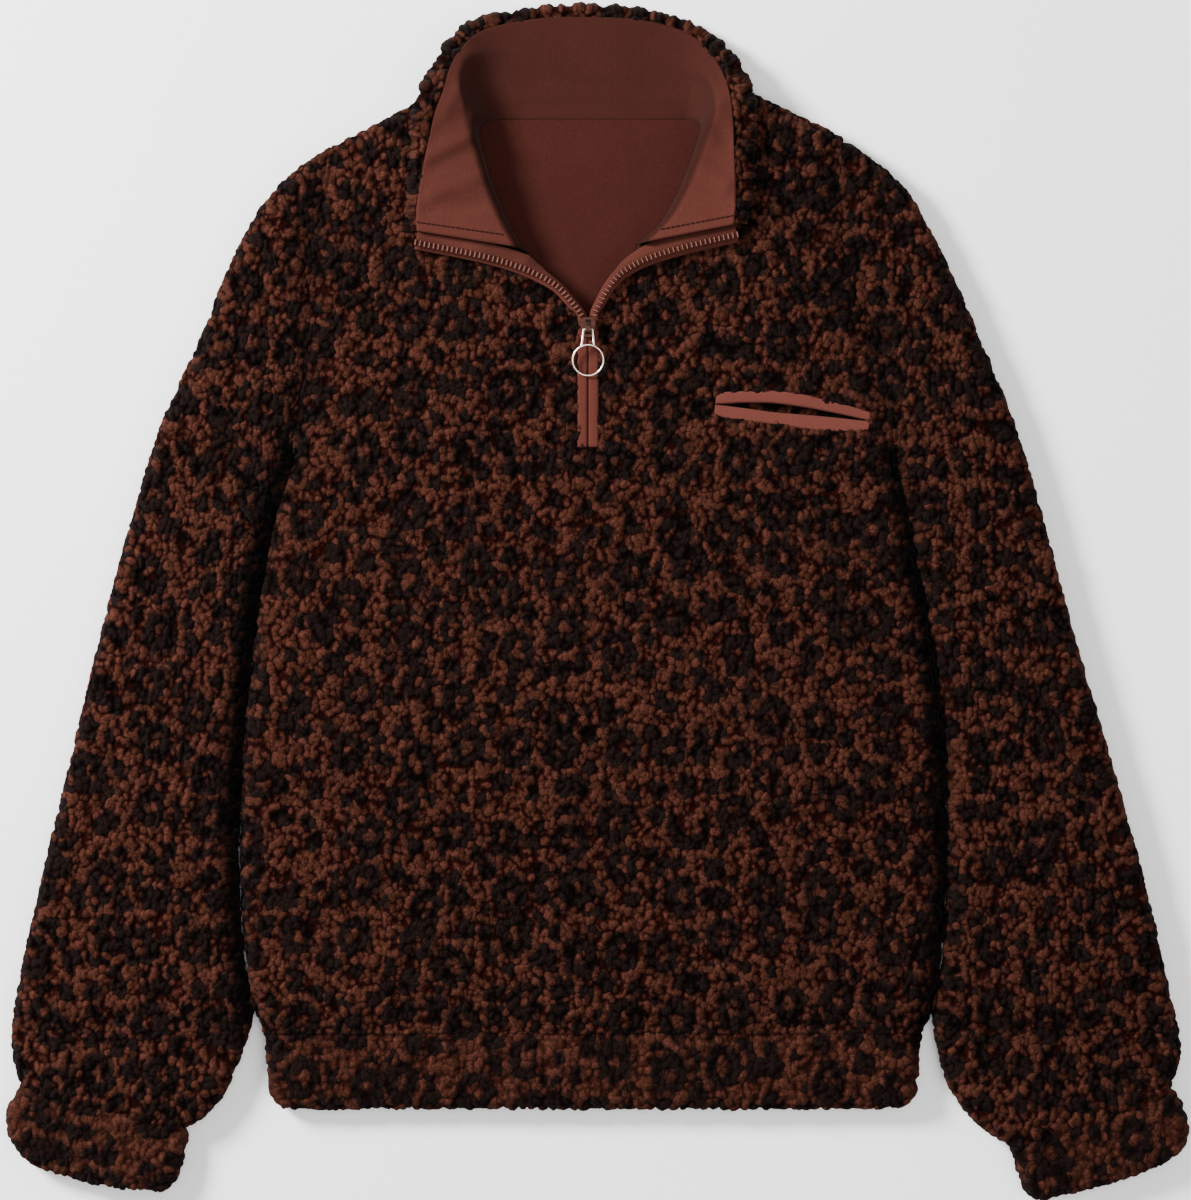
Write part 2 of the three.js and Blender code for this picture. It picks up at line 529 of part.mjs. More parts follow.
// A ring of plan points made into a loop over and under
function ringLoops(points, shape, cosineAt) {
  const over = [];
  const under = [];
  points.forEach((point, i) => {
    const inward = towardsMiddle(points, i);
    const end = i === 0 || i === points.length - 1;
    const cosine = end ? 1 : cosineAt(point, i);
    over.push(wallAt(point, inward, 1, cosine, shape));
    if (!end) under.unshift(wallAt(point, inward, -1, cosine, shape));
  });
  const loop = [...over, ...under];
  return { outer: loop.map((cell) => cell.outer), inner: loop.map((cell) => cell.inner) };
}

function ringPoints(from, to, radius, bow = () => plan(0, 0)) {
  const width = from.distanceTo(to);
  const shares = acrossSamples(width, radius, SLEEVE_SPANS).map((at) => at / width);
  return shares.map((share) => from.clone().lerp(to, share).add(bow(share)));
}

function sleeveRings(side) {
  const armhole = armholePoints(side).map((point) => point.add(plan(side.out * ARMHOLE_GAP / 2, 0)));
  const [underarm, shoulder] = [armhole[0], armhole.at(-1)];
  return SLEEVE_RINGS.map(({ outer, inner, bow }) => {
    if (outer === 0) return armhole;
    const from = alongLine(side.innerLine, inner).add(plan(side.out * SIDE_CLEARANCE, 0));
    const to = alongLine(side.outerLine, outer);
    const off = (share) => {
      const place = crossing(armhole, 'y', lerp(underarm.y, shoulder.y, share));
      return plan((place.x - lerp(underarm.x, shoulder.x, share)) * bow, 0);
    };
    return ringPoints(from, to, FOLD_RADIUS, off);
  });
}

function sleeve(side) {
  const shape = { ...BODY_SHAPE, gap: 0 };
  const loops = sleeveRings(side).map((ring) => (
    ringLoops(ring, shape, (point) => bodyCosine(nearestFold(point).distance + SIDE_CLEARANCE))
  ));
  return tube(loops.map((loop) => loop.outer), loops.map((loop) => loop.inner));
}

// A band's section is its own: the sides are rounded by the distance from the ring's two ends
function bandLoops(from, to, top, round, bow) {
  const level = top / 2;
  const width = from.distanceTo(to);
  const down = plan(to.y - from.y, from.x - to.x).normalize();
  const sag = down.multiplyScalar(Math.sign(down.y) * -bow);
  const points = ringPoints(from, to, level, (share) => sag.clone().multiplyScalar(4 * share * (1 - share)));
  const shape = { level, top, wall: BAND_FLEECE, gap: 0, round, relief: () => 0 };
  return ringLoops(points, shape, (point) => {
    const reach = Math.min(point.distanceTo(from), point.distanceTo(to), width / 2);
    return 1 - Math.min(1, reach / level);
  });
}

function hemBand() {
  const loops = HEM_ROWS.map(({ y, right, left, top, round }) => (
    bandLoops(plan(right, y), plan(left, y), top, round, 0)
  ));
  return tube(loops.map((loop) => loop.outer), loops.map((loop) => loop.inner));
}

function cuff(side, rows) {
  const [inner, outer] = [side.innerLine.at(-1), side.outerLine.at(-1)];
  const across = outer.clone().sub(inner).normalize();
  const down = plan(across.y, -across.x);
  if (down.y > 0) down.negate();
  const seam = [inner, outer].map((point) => point.clone().addScaledVector(down, SEAM_GAP));
  const inset = across.clone().multiplyScalar(CUFF_SEAM.inset);
  const loops = [
    bandLoops(seam[0].add(inset), seam[1].sub(inset), CUFF_SEAM.top, 0, 0),
    ...rows.map(({ ix, iy, ox, oy, top, bow, round }) => (
      bandLoops(plan(ix, iy), plan(ox, oy), top, round, bow)
    )),
  ];
  return tube(loops.map((loop) => loop.outer), loops.map((loop) => loop.inner));
}

// Collar

const collarKeys = Object.keys(COLLAR_ROWS[0]);

// The table's rows, smoothly filled in between
function collarStations() {
  const curve = (key) => {
    const points = COLLAR_ROWS.map((row, i) => plan(i, row[key]));
    return new THREE.CatmullRomCurve3(points, false, 'catmullrom', 0.5);
  };
  const curves = collarKeys.map((key) => [key, curve(key)]);
  return Array.from({ length: COLLAR_STATIONS + 1 }, (_, i) => {
    const share = i / COLLAR_STATIONS;
    const station = Object.fromEntries(curves.map(([key, line]) => [key, line.getPoint(share).y]));
    station.turn = THREE.MathUtils.clamp(station.turn, 0, 1);
    if (station.turn < 0.03) station.turn = 0;
    if (station.turn > 0.97) station.turn = 1;
    station.cz = Math.max(station.cz, COLLAR_FLEECE);
    station.ez = Math.max(station.ez, COLLAR_FLEECE);
    return station;
  });
}

// A section of the collar in its own plane: s runs out from the sewn line, z up
function collarSection(station) {
  const { turn, cz, ez } = station;
  const b = plan(station.bx, station.by);
  const c = plan(station.cx, station.cy);
  const e = plan(station.ex, station.ey);
  const crest = b.distanceTo(c);
  const width = crest + c.distanceTo(e);
  const low = lerp(0, FRONT_UNDERSIDE + SEAM_GAP, turn);
  const rise = lerp(COLLAR_FLEECE, COLLAR_ROOT.rise, turn);
  const knee = lerp(0, BODY_TOP + COLLAR_ROOT.under, turn);
  const wall = COLLAR_FLEECE;
  const upper = [
    [0, low],
    [0, rise],
    [crest * 0.3, lerp(rise, cz, lerp(0.38, 0.68, turn))],
    [crest, cz],
    [lerp(crest, width, 0.33), lerp(cz, ez, 0.4)],
    [lerp(crest, width, 0.66), lerp(cz, ez, 0.75)],
    [width - 3.5, ez],
  ];
  const edge = [[width - 0.9, ez - 1.8], [width, ez - wall / 2], [width - 0.9, ez - wall + 1.8]];
  const lower = [
    [width - 3.5, ez - wall],
    [lerp(crest, width, 0.5), lerp(cz, ez, 0.58) - wall],
    [Math.max(crest, wall + 2.5), cz - wall],
    [wall, knee],
    [wall * lerp(0.5, 1, turn), low],
  ];
  const place = ([s, z]) => {
    const point = s < crest ? b.clone().lerp(c, s / crest) : c.clone().lerp(e, (s - crest) / (width - crest));
    return point.setZ(z);
  };
  return { profile: [...upper, ...edge, ...lower], upper, place, crest, width, low, rise };
}

function collar(stations) {
  const sections = stations.map(collarSection);
  const points = sections.map(({ profile, place }) => profile.map(place));
  return loft(points, sections[0].profile.map(([s, z]) => new THREE.Vector2(s, z)));
}

// The height of a section's upper line
function heightOn(upper, s) {
  const next = Math.max(1, upper.findIndex((point) => point[0] >= s));
  const [before, after] = [upper[next - 1], upper[next]];
  return lerp(before[1], after[1], (s - before[0]) / (after[0] - before[0]));
}

// The jersey inside the collar: the section's upper line, moved out by the gap and by the cloth
function collarFacing(stations) {
  const grids = { outer: [], inner: [] };
  for (const station of stations) {
    const { upper, place, crest, width, low, rise } = collarSection(station);
    const start = [0, lerp(rise - 0.6, low + 0.4, station.turn)];
    const end = width - station.rim;
    const halfway = Math.min(upper[4][0], lerp(crest, end, 0.5));
    const further = Math.min(upper[5][0], lerp(crest, end, 0.8));
    const spread = [halfway, further, end];
    const path = [start, ...upper.slice(1, 4), ...spread.map((s) => [s, heightOn(upper, s)])];
    const b = plan(station.bx, station.by);
    const outward = plan(station.cx, station.cy).sub(b).normalize();
    for (const [name, off] of [['inner', FACING_OFF], ['outer', FACING_OFF + JERSEY]]) {
      grids[name].push(path.map(([s, z], i) => {
        const tilt = FACING_TILT[i];
        const point = place([Math.max(s, 0), z]);
        point.addScaledVector(outward, -off * Math.cos(degrees(tilt)));
        point.z += off * Math.sin(degrees(tilt));
        return point;
      }));
    }
  }
  return shell(grids.outer, grids.inner);
}

// The cut edges of the front and back round the neck
function outFromSeam(station, distance) {
  const { place } = collarSection(station);
  if (distance >= 0) {
    const point = place([distance, 0]);
    return [point.x, point.y];
  }
  const b = plan(station.bx, station.by);
  const back = b.clone().sub(plan(station.cx, station.cy)).normalize().multiplyScalar(-distance);
  return [b.x + back.x, b.y + back.y];
}

function frontNeck(stations) {
  const half = Math.floor(stations.length / 2);
  const turned = (station) => station.turn > 0.98;
  const reach = COLLAR_FLEECE + SEAM_GAP;
  const seam = (side) => side.filter(turned).map((station) => outFromSeam(station, reach));
  return [
    [ZIP_X - SLOT.halfWidth, SLOT.foot],
    [ZIP_X - SLOT.halfWidth, SLOT.head],
    ...[...V_RIGHT].reverse(),
    ...seam(stations.slice(0, half)),
    ...NECK_CORNER_RIGHT,
    ...NECK_CORNER_LEFT,
    ...seam(stations.slice(half)),
    ...[...V_LEFT].reverse(),
    [ZIP_X + SLOT.halfWidth, SLOT.head],
    [ZIP_X + SLOT.halfWidth, SLOT.foot],
  ];
}

function backNeck(stations) {
  const sewn = stations
    .filter((station) => station.turn < 0.5)
    .map((station) => outFromSeam(station, -FACING_LIP));
  return [...[...NECK_CORNER_BACK_RIGHT].reverse(), ...sewn, ...[...NECK_CORNER_BACK_LEFT].reverse()];
}

// Zip lips and tapes

// A strip that follows a table of stations, with its section given across and up
function strip(rows, section) {
  const sections = rows.map((row, i) => {
    const ahead = rows[Math.min(i + 1, rows.length - 1)];
    const behind = rows[Math.max(i - 1, 0)];
    const along = plan(ahead.x - behind.x, ahead.y - behind.y).normalize();
    const across = plan(along.y, -along.x).multiplyScalar(row.side);
    return section(row).map(([s, z]) => plan(row.x, row.y).addScaledVector(across, s).setZ(z));
  });
  return loft(sections, section(rows[0]).map(([s, z]) => new THREE.Vector2(s, z)));
}

// side is 1 where the inner width lies to the right of the way up, -1 where it lies to the left
function welt(rows, side) {
  const { round } = WELT_EDGE;
  return strip(rows.map((row) => ({ ...row, side })), ({ inner, outer, low, top }) => [
    [-outer, low], [inner, low], [inner, top - round],
    [inner - round, top], [round - outer, top], [-outer, top - round],
  ]);
}

function tape(rows, side) {
  const open = rows.slice(WELT_FIRST_OPEN).map((row) => ({ ...row, side }));
  return strip(open, ({ inner, top }) => {
    const foot = top + TAPE.lift;
    const flat = Math.max(inner, TAPE.teethHalf + 0.6);
    return [
      [-TAPE.teethHalf, foot], [flat, foot], [flat, foot + TAPE.thickness],
      [TAPE.teethHalf, foot + TAPE.thickness], [TAPE.teethHalf - 0.5, foot + TAPE.teethHigh],
      [0.5 - TAPE.teethHalf, foot + TAPE.teethHigh], [-TAPE.teethHalf, foot + TAPE.thickness],
    ];
  });
}

// Pocket

function pocketPoint(at, height) {
  const tilt = degrees(POCKET.tilt);
  const along = at * POCKET.length;
  return [
    POCKET.x + along * Math.cos(tilt) - height * Math.sin(tilt),
    POCKET.y + along * Math.sin(tilt) + height * Math.cos(tilt),
  ];
}

function pocketWindow() {
  const head = POCKET_ROWS.map((row) => pocketPoint(row.at, row.top + SEAM_GAP));
  const foot = POCKET_ROWS.map((row) => pocketPoint(row.at, row.foot - SEAM_GAP)).reverse();
  head[0] = pocketPoint(-0.003, POCKET_ROWS[0].top + SEAM_GAP);
  head[head.length - 1] = pocketPoint(1.003, POCKET_ROWS.at(-1).top + SEAM_GAP);
  foot[0] = pocketPoint(1.003, POCKET_ROWS.at(-1).foot - SEAM_GAP);
  foot[foot.length - 1] = pocketPoint(-0.003, POCKET_ROWS[0].foot - SEAM_GAP);
  return [...head, ...foot];
}

function pocketLip(nearKey, farKey) {
  const flat = ({ [nearKey]: near, [farKey]: far }) => {
    const inward = Math.sign(far - near);
    const { foot, top } = POCKET_LIP;
    return [
      [near, foot], [near, top - 1.8], [near + 1.2 * inward, top], [far - 1.4 * inward, top - 0.2],
      [far, top - 1.8], [far, foot],
    ];
  };
  const raised = (row) => ([height, z]) => plan(...pocketPoint(row.at, height)).setZ(z);
  const sections = POCKET_ROWS.map((row) => flat(row).map(raised(row)));
  return loft(sections, flat(POCKET_ROWS[0]).map(([height, z]) => new THREE.Vector2(height, z)));
}

function pocketBag() {
  const { margin, depth, top, thickness } = POCKET_BAG;
  const before = -margin / POCKET.length;
  const past = 1 - before;
  const head = Math.max(...POCKET_ROWS.map((row) => row.top)) + margin;
  const corners = [[before, head], [past, head], [past, -depth], [before, -depth]];
  const outline = corners.map((corner) => pocketPoint(...corner));
  return block(outline, top - thickness, thickness);
}

// Zip slider and pull

function upright(profile, width) {
  const shape = new THREE.Shape(profile.outline.map(([y, z]) => new THREE.Vector2(y, z)));
  if (profile.hole) shape.holes.push(new THREE.Path(profile.hole.map(([y, z]) => new THREE.Vector2(y, z))));
  const geometry = new THREE.ExtrudeGeometry(shape, { depth: width, bevelEnabled: false, steps: 1 });
  geometry.translate(0, 0, -width / 2);
  return geometry.applyMatrix4(new THREE.Matrix4().makeBasis(
    new THREE.Vector3(0, 1, 0), new THREE.Vector3(0, 0, 1), new THREE.Vector3(1, 0, 0),
  ));
}

function ungrouped(geometry) {
  const bare = new THREE.BufferGeometry();
  bare.setAttribute('position', geometry.getAttribute('position'));
  bare.setIndex(geometry.index ?? [...Array(geometry.getAttribute('position').count).keys()]);
  return bare;
}

function slider() {
  const { foot, top, y, length, nose, tail } = SLIDER;
  const half = length / 2;
  const outline = [
    [-nose, half - 2.2], [2 - nose, half], [nose - 2, half], [nose, half - 2.2], [nose - 0.2, 0],
    [tail, 1 - half], [tail - 1.2, -half], [1.2 - tail, -half], [-tail, 1 - half], [0.2 - nose, 0],
  ].map(([x, along]) => [ZIP_X + x, y + along]);
  const plate = toSolid(ungrouped(block(outline, foot, top - foot)));
  const { width, foot: root, top: crown, front, rear } = BRIDGE;
  const eye = BRIDGE_EYE;
  const bridge = upright({
    outline: [
      [front, root], [rear, root], [rear, crown - 2.2], [rear - 1.6, crown - 0.5], [rear - 4, crown],
      [front + 1.6, crown], [front, crown - 1.4],
    ],
    hole: [
      [eye.front, eye.foot], [eye.front, eye.top - 0.5], [eye.front + 0.6, eye.top],
      [eye.rear - 0.6, eye.top], [eye.rear, eye.top - 0.5], [eye.rear, eye.foot],
    ],
  }, width);
  return fromSolid(plate.add(toSolid(ungrouped(bridge.translate(ZIP_X, 0, 0)))));
}

// A round rod between two points
function rod(from, to, radius) {
  const along = to.clone().sub(from);
  const geometry = new THREE.CylinderGeometry(radius, radius, along.length(), 8);
  const turn = new THREE.Quaternion().setFromUnitVectors(plan(0, 1), along.clone().normalize());
  const middle = from.clone().lerp(to, 0.5);
  return geometry.applyQuaternion(turn).translate(...middle.toArray());
}

// The pull lies along -Y from its bar, then is tilted down on to the lips
function pull() {
  const { axisY, axisZ, wire, headHalf, footHalf, ringRadius, ringDrop, tilt } = PULL;
  const reach = ringDrop - Math.sqrt(ringRadius ** 2 - footHalf ** 2) + wire / 2;
  const ring = new THREE.TorusGeometry(ringRadius, wire, 6, 30).translate(0, -ringDrop, 0);
  const prongs = [-1, 1].map((side) => (
    rod(plan(side * headHalf, wire * 0.4), plan(side * footHalf, -reach), wire)
  ));
  const bar = rod(plan(-headHalf - wire * 0.6, 0), plan(headHalf + wire * 0.6, 0), wire * 0.9);
  const [first, ...rest] = [bar, ring, ...prongs].map((piece) => toSolid(ungrouped(piece)));
  const solid = rest.reduce((sum, piece) => sum.add(piece), first);
  return fromSolid(solid).rotateX(degrees(tilt)).translate(ZIP_X, axisY, axisZ);
}

// Assembly

const stations = collarStations();
const grid = bodyGrid();
const through = (outline) => toSolid(ungrouped(block(outline, -BODY_TOP, 3 * BODY_TOP)));
const neckCut = through(frontNeck(stations));
const pocketCut = through(pocketWindow());
const backCut = through(backNeck(stations));
const liningLine = smoothLine(LINING_OUTLINE, 40);
const liningOutline = liningLine.map((point) => [point.x, Math.min(point.y, LINING_HEAD)]);

const fleece = new THREE.MeshStandardMaterial({ color: FLEECE_COLOUR, roughness: 1, metalness: 0 });
const jersey = new THREE.MeshStandardMaterial({ color: JERSEY_COLOUR, roughness: 0.85, metalness: 0 });
const weltCloth = new THREE.MeshStandardMaterial({ color: WELT_COLOUR, roughness: 0.8, metalness: 0 });
const tapeCloth = new THREE.MeshStandardMaterial({ color: TAPE_COLOUR, roughness: 0.75, metalness: 0 });
const darkMetal = new THREE.MeshStandardMaterial({ color: DARK_METAL_COLOUR, roughness: 0.35, metalness: 1 });
const paleMetal = new THREE.MeshStandardMaterial({ color: PALE_METAL_COLOUR, roughness: 0.3, metalness: 1 });

const garment = new THREE.Group();

function addPiece(name, geometry, material) {
  const mesh = new THREE.Mesh(geometry, material);
  mesh.name = name;
  garment.add(mesh);
}

addPiece('front', fromSolid(toSolid(bodyPanel(grid, 1)).subtract(neckCut).subtract(pocketCut)), fleece);
addPiece('back', fromSolid(toSolid(bodyPanel(grid, -1)).subtract(backCut)), fleece);
addPiece('sleeve_right', sleeve(RIGHT), fleece);
addPiece('sleeve_left', sleeve(LEFT), fleece);
addPiece('cuff_right', cuff(RIGHT, CUFF_ROWS.right), fleece);
addPiece('cuff_left', cuff(LEFT, CUFF_ROWS.left), fleece);
addPiece('hem_band', hemBand(), fleece);
addPiece('collar', collar(stations), fleece);
addPiece('collar_facing', collarFacing(stations), jersey);
addPiece('back_lining', block(liningOutline, FLEECE + SEAM_GAP, JERSEY), jersey);
addPiece('zip_welt_right', welt(WELT_RIGHT, 1), weltCloth);
addPiece('zip_welt_left', welt(WELT_LEFT, -1), weltCloth);
addPiece('zip_tape_right', tape(WELT_RIGHT, 1), tapeCloth);
addPiece('zip_tape_left', tape(WELT_LEFT, -1), tapeCloth);
addPiece('pocket_welt_upper', pocketLip('slitTop', 'top'), weltCloth);
addPiece('pocket_welt_lower', pocketLip('slitFoot', 'foot'), weltCloth);
addPiece('pocket_bag', pocketBag(), fleece);
addPiece('zip_slider', slider(), darkMetal);
addPiece('zip_pull', pull(), paleMetal);

export default garment;
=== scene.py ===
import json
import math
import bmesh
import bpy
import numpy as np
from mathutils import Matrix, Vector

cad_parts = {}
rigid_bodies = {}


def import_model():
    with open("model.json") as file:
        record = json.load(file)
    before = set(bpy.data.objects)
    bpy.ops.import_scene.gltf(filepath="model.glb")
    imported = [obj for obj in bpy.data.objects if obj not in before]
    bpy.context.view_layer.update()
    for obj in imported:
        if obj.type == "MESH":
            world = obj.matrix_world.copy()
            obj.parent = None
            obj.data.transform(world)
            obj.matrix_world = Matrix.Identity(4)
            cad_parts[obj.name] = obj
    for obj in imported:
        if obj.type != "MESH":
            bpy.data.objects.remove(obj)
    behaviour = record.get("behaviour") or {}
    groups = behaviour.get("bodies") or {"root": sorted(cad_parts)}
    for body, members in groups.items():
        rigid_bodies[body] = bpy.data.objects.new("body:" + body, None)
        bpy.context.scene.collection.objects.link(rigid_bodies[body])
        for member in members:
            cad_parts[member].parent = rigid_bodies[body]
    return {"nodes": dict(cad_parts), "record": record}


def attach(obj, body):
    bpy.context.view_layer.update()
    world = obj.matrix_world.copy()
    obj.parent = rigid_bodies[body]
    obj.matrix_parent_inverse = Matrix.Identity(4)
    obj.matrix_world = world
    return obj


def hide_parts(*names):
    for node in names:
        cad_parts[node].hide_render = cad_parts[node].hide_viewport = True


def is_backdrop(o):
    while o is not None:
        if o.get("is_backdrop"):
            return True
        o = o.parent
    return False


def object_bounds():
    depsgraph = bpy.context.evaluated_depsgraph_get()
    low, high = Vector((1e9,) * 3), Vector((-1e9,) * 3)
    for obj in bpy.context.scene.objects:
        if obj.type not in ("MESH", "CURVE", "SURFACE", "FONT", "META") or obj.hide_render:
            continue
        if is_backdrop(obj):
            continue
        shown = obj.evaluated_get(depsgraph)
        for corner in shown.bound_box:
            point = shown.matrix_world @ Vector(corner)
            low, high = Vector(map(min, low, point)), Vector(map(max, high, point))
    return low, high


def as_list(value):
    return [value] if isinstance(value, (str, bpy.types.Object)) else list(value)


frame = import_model()

# %% [markdown]
# # A sherpa fleece pullover, laid flat
#
# The garment lies on its back with the zip half open and the collar turned outward. Its cloth is cut,
# sewn and laid in the same lines as the solids that were loaded: every piece here is a thin cloth inside
# the wall of its solid, and the pile, the teeth and the stitches are then grown on the cloth.
# Sizes in the tables are millimetres, because that is how cloth is measured. Meshes are made in metres.

MM = 0.001
solid_bounds = [[float(value) for value in corner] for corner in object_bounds()]
print("solids from", solid_bounds[0], "to", solid_bounds[1])

# %% [markdown]
# ## Lines of the laid garment
#
# A laid garment is a map: its seams and folded sides are lines in plan, and the height of the cloth
# follows from how far a point is from the nearest folded side. The lines could be drawn as Bezier
# curves by hand. Rows of x and y in a table are easier to read and to change, and one smooth curve
# through them gives as many points as a piece needs.

# %% Cloth thicknesses, and the seams and folded sides in plan
FLEECE = 10.0            # knit and pile together
BAND_FLEECE = 8.8
COLLAR_FLEECE = 8.0
BODY_TOP = 23.4          # front and back on each other
SEAM_LEVEL = BODY_TOP / 2
FOLD_RADIUS = BODY_TOP / 2
FRONT_UNDERSIDE = BODY_TOP - FLEECE
DEEPEST_INSIDE = 2.4
SEAM_GAP = 0.3
ARMHOLE_GAP = 0.34
SIDE_CLEARANCE = 0.3
PILE_SHARE = 0.36        # of the wall that is free pile
GROUND_SHARE = 0.3       # of the wall that is knitted ground

SHOULDER = [
    (-173, 294.5), (-154, 305), (-132, 316.5), (-115, 325), (-85, 335),
    (85, 335), (111, 326), (131, 316), (146, 308.5), (160, 300),
]
RIGHT = {
    "out": -1,
    "armhole": [(-198, 92), (-193, 123), (-187, 158), (-186, 200), (-184, 242), (-173, 294.5)],
    "outer": [
        (-173, 294.5), (-203, 273), (-230, 234), (-255, 175), (-282, 117), (-301, 58),
        (-322, -19), (-341, -97), (-360, -175), (-377, -253), (-381, -292), (-375, -313),
    ],
    "contact": [(-198, 92), (-205, 70), (-212, 43), (-223, -27), (-230, -96), (-232, -183)],
    "body_foot": [(-226.5, -247), (-221.5, -268), (-216.5, -282)],
    "sleeve_foot": [(-226.8, -247), (-222.2, -267), (-227.2, -289), (-242, -322), (-255, -336), (-266, -342)],
}
LEFT = {
    "out": 1,
    "armhole": [(196, 92), (193, 114), (185, 150), (173, 192), (163, 228), (158, 265), (160, 300)],
    "outer": [
        (160, 300), (196, 273), (220, 234), (247, 175), (271, 117), (289, 58),
        (310, -19), (333, -97), (355, -175), (373, -253), (380, -292), (374, -315),
    ],
    "contact": [(196, 92), (201, 73), (206, 43), (219, -27), (226.5, -88), (228, -166)],
    "body_foot": [(222.5, -247), (217, -270), (212, -282)],
    "sleeve_foot": [(222.8, -247), (217.6, -269), (221.4, -296), (231, -322), (247, -341), (266, -354)],
}


def columns_at(table, at, places):
    """A table's rows, which stand at places, filled in between them at other places."""
    return np.column_stack([np.interp(at, places, column) for column in table.T])


def spaced(line, pieces):
    """The same line as evenly spaced points."""
    line = np.asarray(line, float)
    steps = np.linalg.norm(np.diff(line, axis=0), axis=1)
    length = np.concatenate([[0], np.cumsum(steps)])
    return columns_at(line, np.linspace(0, length[-1], pieces + 1), length)


CURVE_SPANS = 24


def smooth_line(rows, pieces=200):
    """Evenly spaced points on the smooth curve through the rows."""
    rows = np.asarray(rows, float)
    rows = np.vstack([2 * rows[0] - rows[1], rows, 2 * rows[-1] - rows[-2]])
    parts = []
    for quad in zip(rows[:-3], rows[1:-2], rows[2:-1], rows[3:]):
        apart = [np.sqrt(np.linalg.norm(b - a)) for a, b in zip(quad, quad[1:])]
        knots = np.concatenate([[0], np.cumsum(apart)])
        t = np.linspace(knots[1], knots[2], CURVE_SPANS, endpoint=False)[:, None]

        def between(a, b, start, end):
            return (a * (end - t) + b * (t - start)) / (end - start)

        first = [between(quad[i], quad[i + 1], knots[i], knots[i + 1]) for i in range(3)]
        second = [between(first[i], first[i + 1], knots[i], knots[i + 2]) for i in range(2)]
        parts.append(between(second[0], second[1], knots[1], knots[2]))
    return spaced(np.vstack(parts + [rows[-2][None]]), pieces)


def length_of(line):
    return np.linalg.norm(np.diff(line, axis=0), axis=1).sum()


def along(line, shares):
    """Points at shares of an evenly spaced line's length."""
    return columns_at(line, shares, np.linspace(0, 1, len(line)))


def across_line(line, axis, values):
    """The other coordinate of a line where it meets values of x (axis 0) or y (axis 1)."""
    order = np.argsort(line[:, axis])
    return np.interp(values, line[order, axis], line[order, 1 - axis])


for side in (RIGHT, LEFT):
    side["armhole_line"] = smooth_line(side["armhole"])
    side["outer_line"] = smooth_line(side["outer"])
    side["inner_line"] = smooth_line(side["contact"] + side["sleeve_foot"])
    side["body_line"] = smooth_line(side["contact"] + side["body_foot"])
shoulder_line = smooth_line(SHOULDER)
# Painted shade in the valleys between the pieces: line, shift toward the side away from the light, half width,
# depth
SPARSE = slice(None, None, 10)
PAINTED_SHADE_VALLEYS = [(side["body_line"][SPARSE], -5.5, 7.5, 0.94) for side in (RIGHT, LEFT)]
PAINTED_SHADE_VALLEYS += [(side["armhole_line"][SPARSE], -4, 10, 0.35) for side in (RIGHT, LEFT)]
FOLD_LINES = [shoulder_line + [0, SIDE_CLEARANCE]]
FOLD_LINES += [side[name] for side in (RIGHT, LEFT) for name in ("outer_line", "inner_line", "body_line")]
print("sleeve's folded side:", round(length_of(RIGHT["outer_line"])), "mm")

# %% [markdown]
# ## The height of the cloth
#
# Near a folded side the cloth curves down in a quarter circle. Further in it lies level, one layer on
# the other, with shallow waves and dents where a hand smoothed it. The waves could be sculpted or come
# from a cloth simulation. A short table of ridges and troughs, each a line with a width and a rise,
# keeps them where they belong, and the same table serves front and sleeves.

# %% Waves and the rule for the height
# Ridges and troughs: x and y of both ends, half width, rise
WAVES = [
    (-185, 62, 15, 58, 24, -1.6), (-205, -60, 210, -50, 40, 1.2), (-205, -150, 210, -160, 26, -1.6),
    (-243, 150, -207, 116, 13, 2.2), (-240, 122, -216, 82, 13, -2.2), (-176, 210, -176, 140, 8, 1.4),
    (166, 212, 184, 148, 9, -2), (214, 150, 236, 60, 16, 1.8),
    (-150, -275, -156, -232, 13, 1.5), (-88, -275, -84, -240, 13, -1.5), (-22, -275, -30, -228, 14, 1.6),
    (40, -275, 46, -236, 13, -1.5), (104, -275, 98, -230, 14, 1.5), (164, -275, 170, -242, 12, -1.4),
    (-294, -328, -284, -286, 9, 2), (-322, -321, -312, -272, 10, -2), (-350, -313, -346, -268, 9, 2),
    (292, -338, 280, -296, 9, 2), (320, -330, 308, -284, 10, -2), (347, -322, 341, -276, 9, 2),
]
ARMHOLE_GROOVE = (7, 2.4)    # half width, depth
HEM_GROOVE = (9, 3)
HEM_SEAM = -282


def nearest(line, points):
    """Distance from each point to a line in plan, and the foot of it."""
    start, step = line[:-1], np.diff(line, axis=0)
    share = ((points[:, None] - start) * step).sum(-1) / (step ** 2).sum(-1)
    feet = start + np.clip(share, 0, 1)[..., None] * step
    distance = np.linalg.norm(points[:, None] - feet, axis=-1)
    best = distance.argmin(1)
    rows = np.arange(len(points))
    return distance[rows, best], feet[rows, best]


def nearest_fold(points):
    found = [nearest(line, points) for line in FOLD_LINES]
    distances = np.array([distance for distance, foot in found])
    best = distances.argmin(0)
    rows = np.arange(len(points))
    return distances[best, rows], np.array([foot for distance, foot in found])[best, rows]


def waves_at(points, waves):
    """The ridges and troughs of a table, added up at points in plan."""
    total = np.zeros(len(points))
    for x1, y1, x2, y2, width, rise in waves:
        distance = nearest(np.array([(x1, y1), (x2, y2)], float), points)[0]
        total += rise * np.exp(-(distance / width) ** 2)
    return total


def relief(points):
    """How far the upper layer stands above or below its level."""
    total = waves_at(points, WAVES)
    for side in (RIGHT, LEFT):
        distance = nearest(side["armhole_line"], points)[0]
        total -= ARMHOLE_GROOVE[1] * np.exp(-(distance / ARMHOLE_GROOVE[0]) ** 2)
    return total - HEM_GROOVE[1] * np.exp(-((points[:, 1] - HEM_SEAM) / HEM_GROOVE[0]) ** 2)


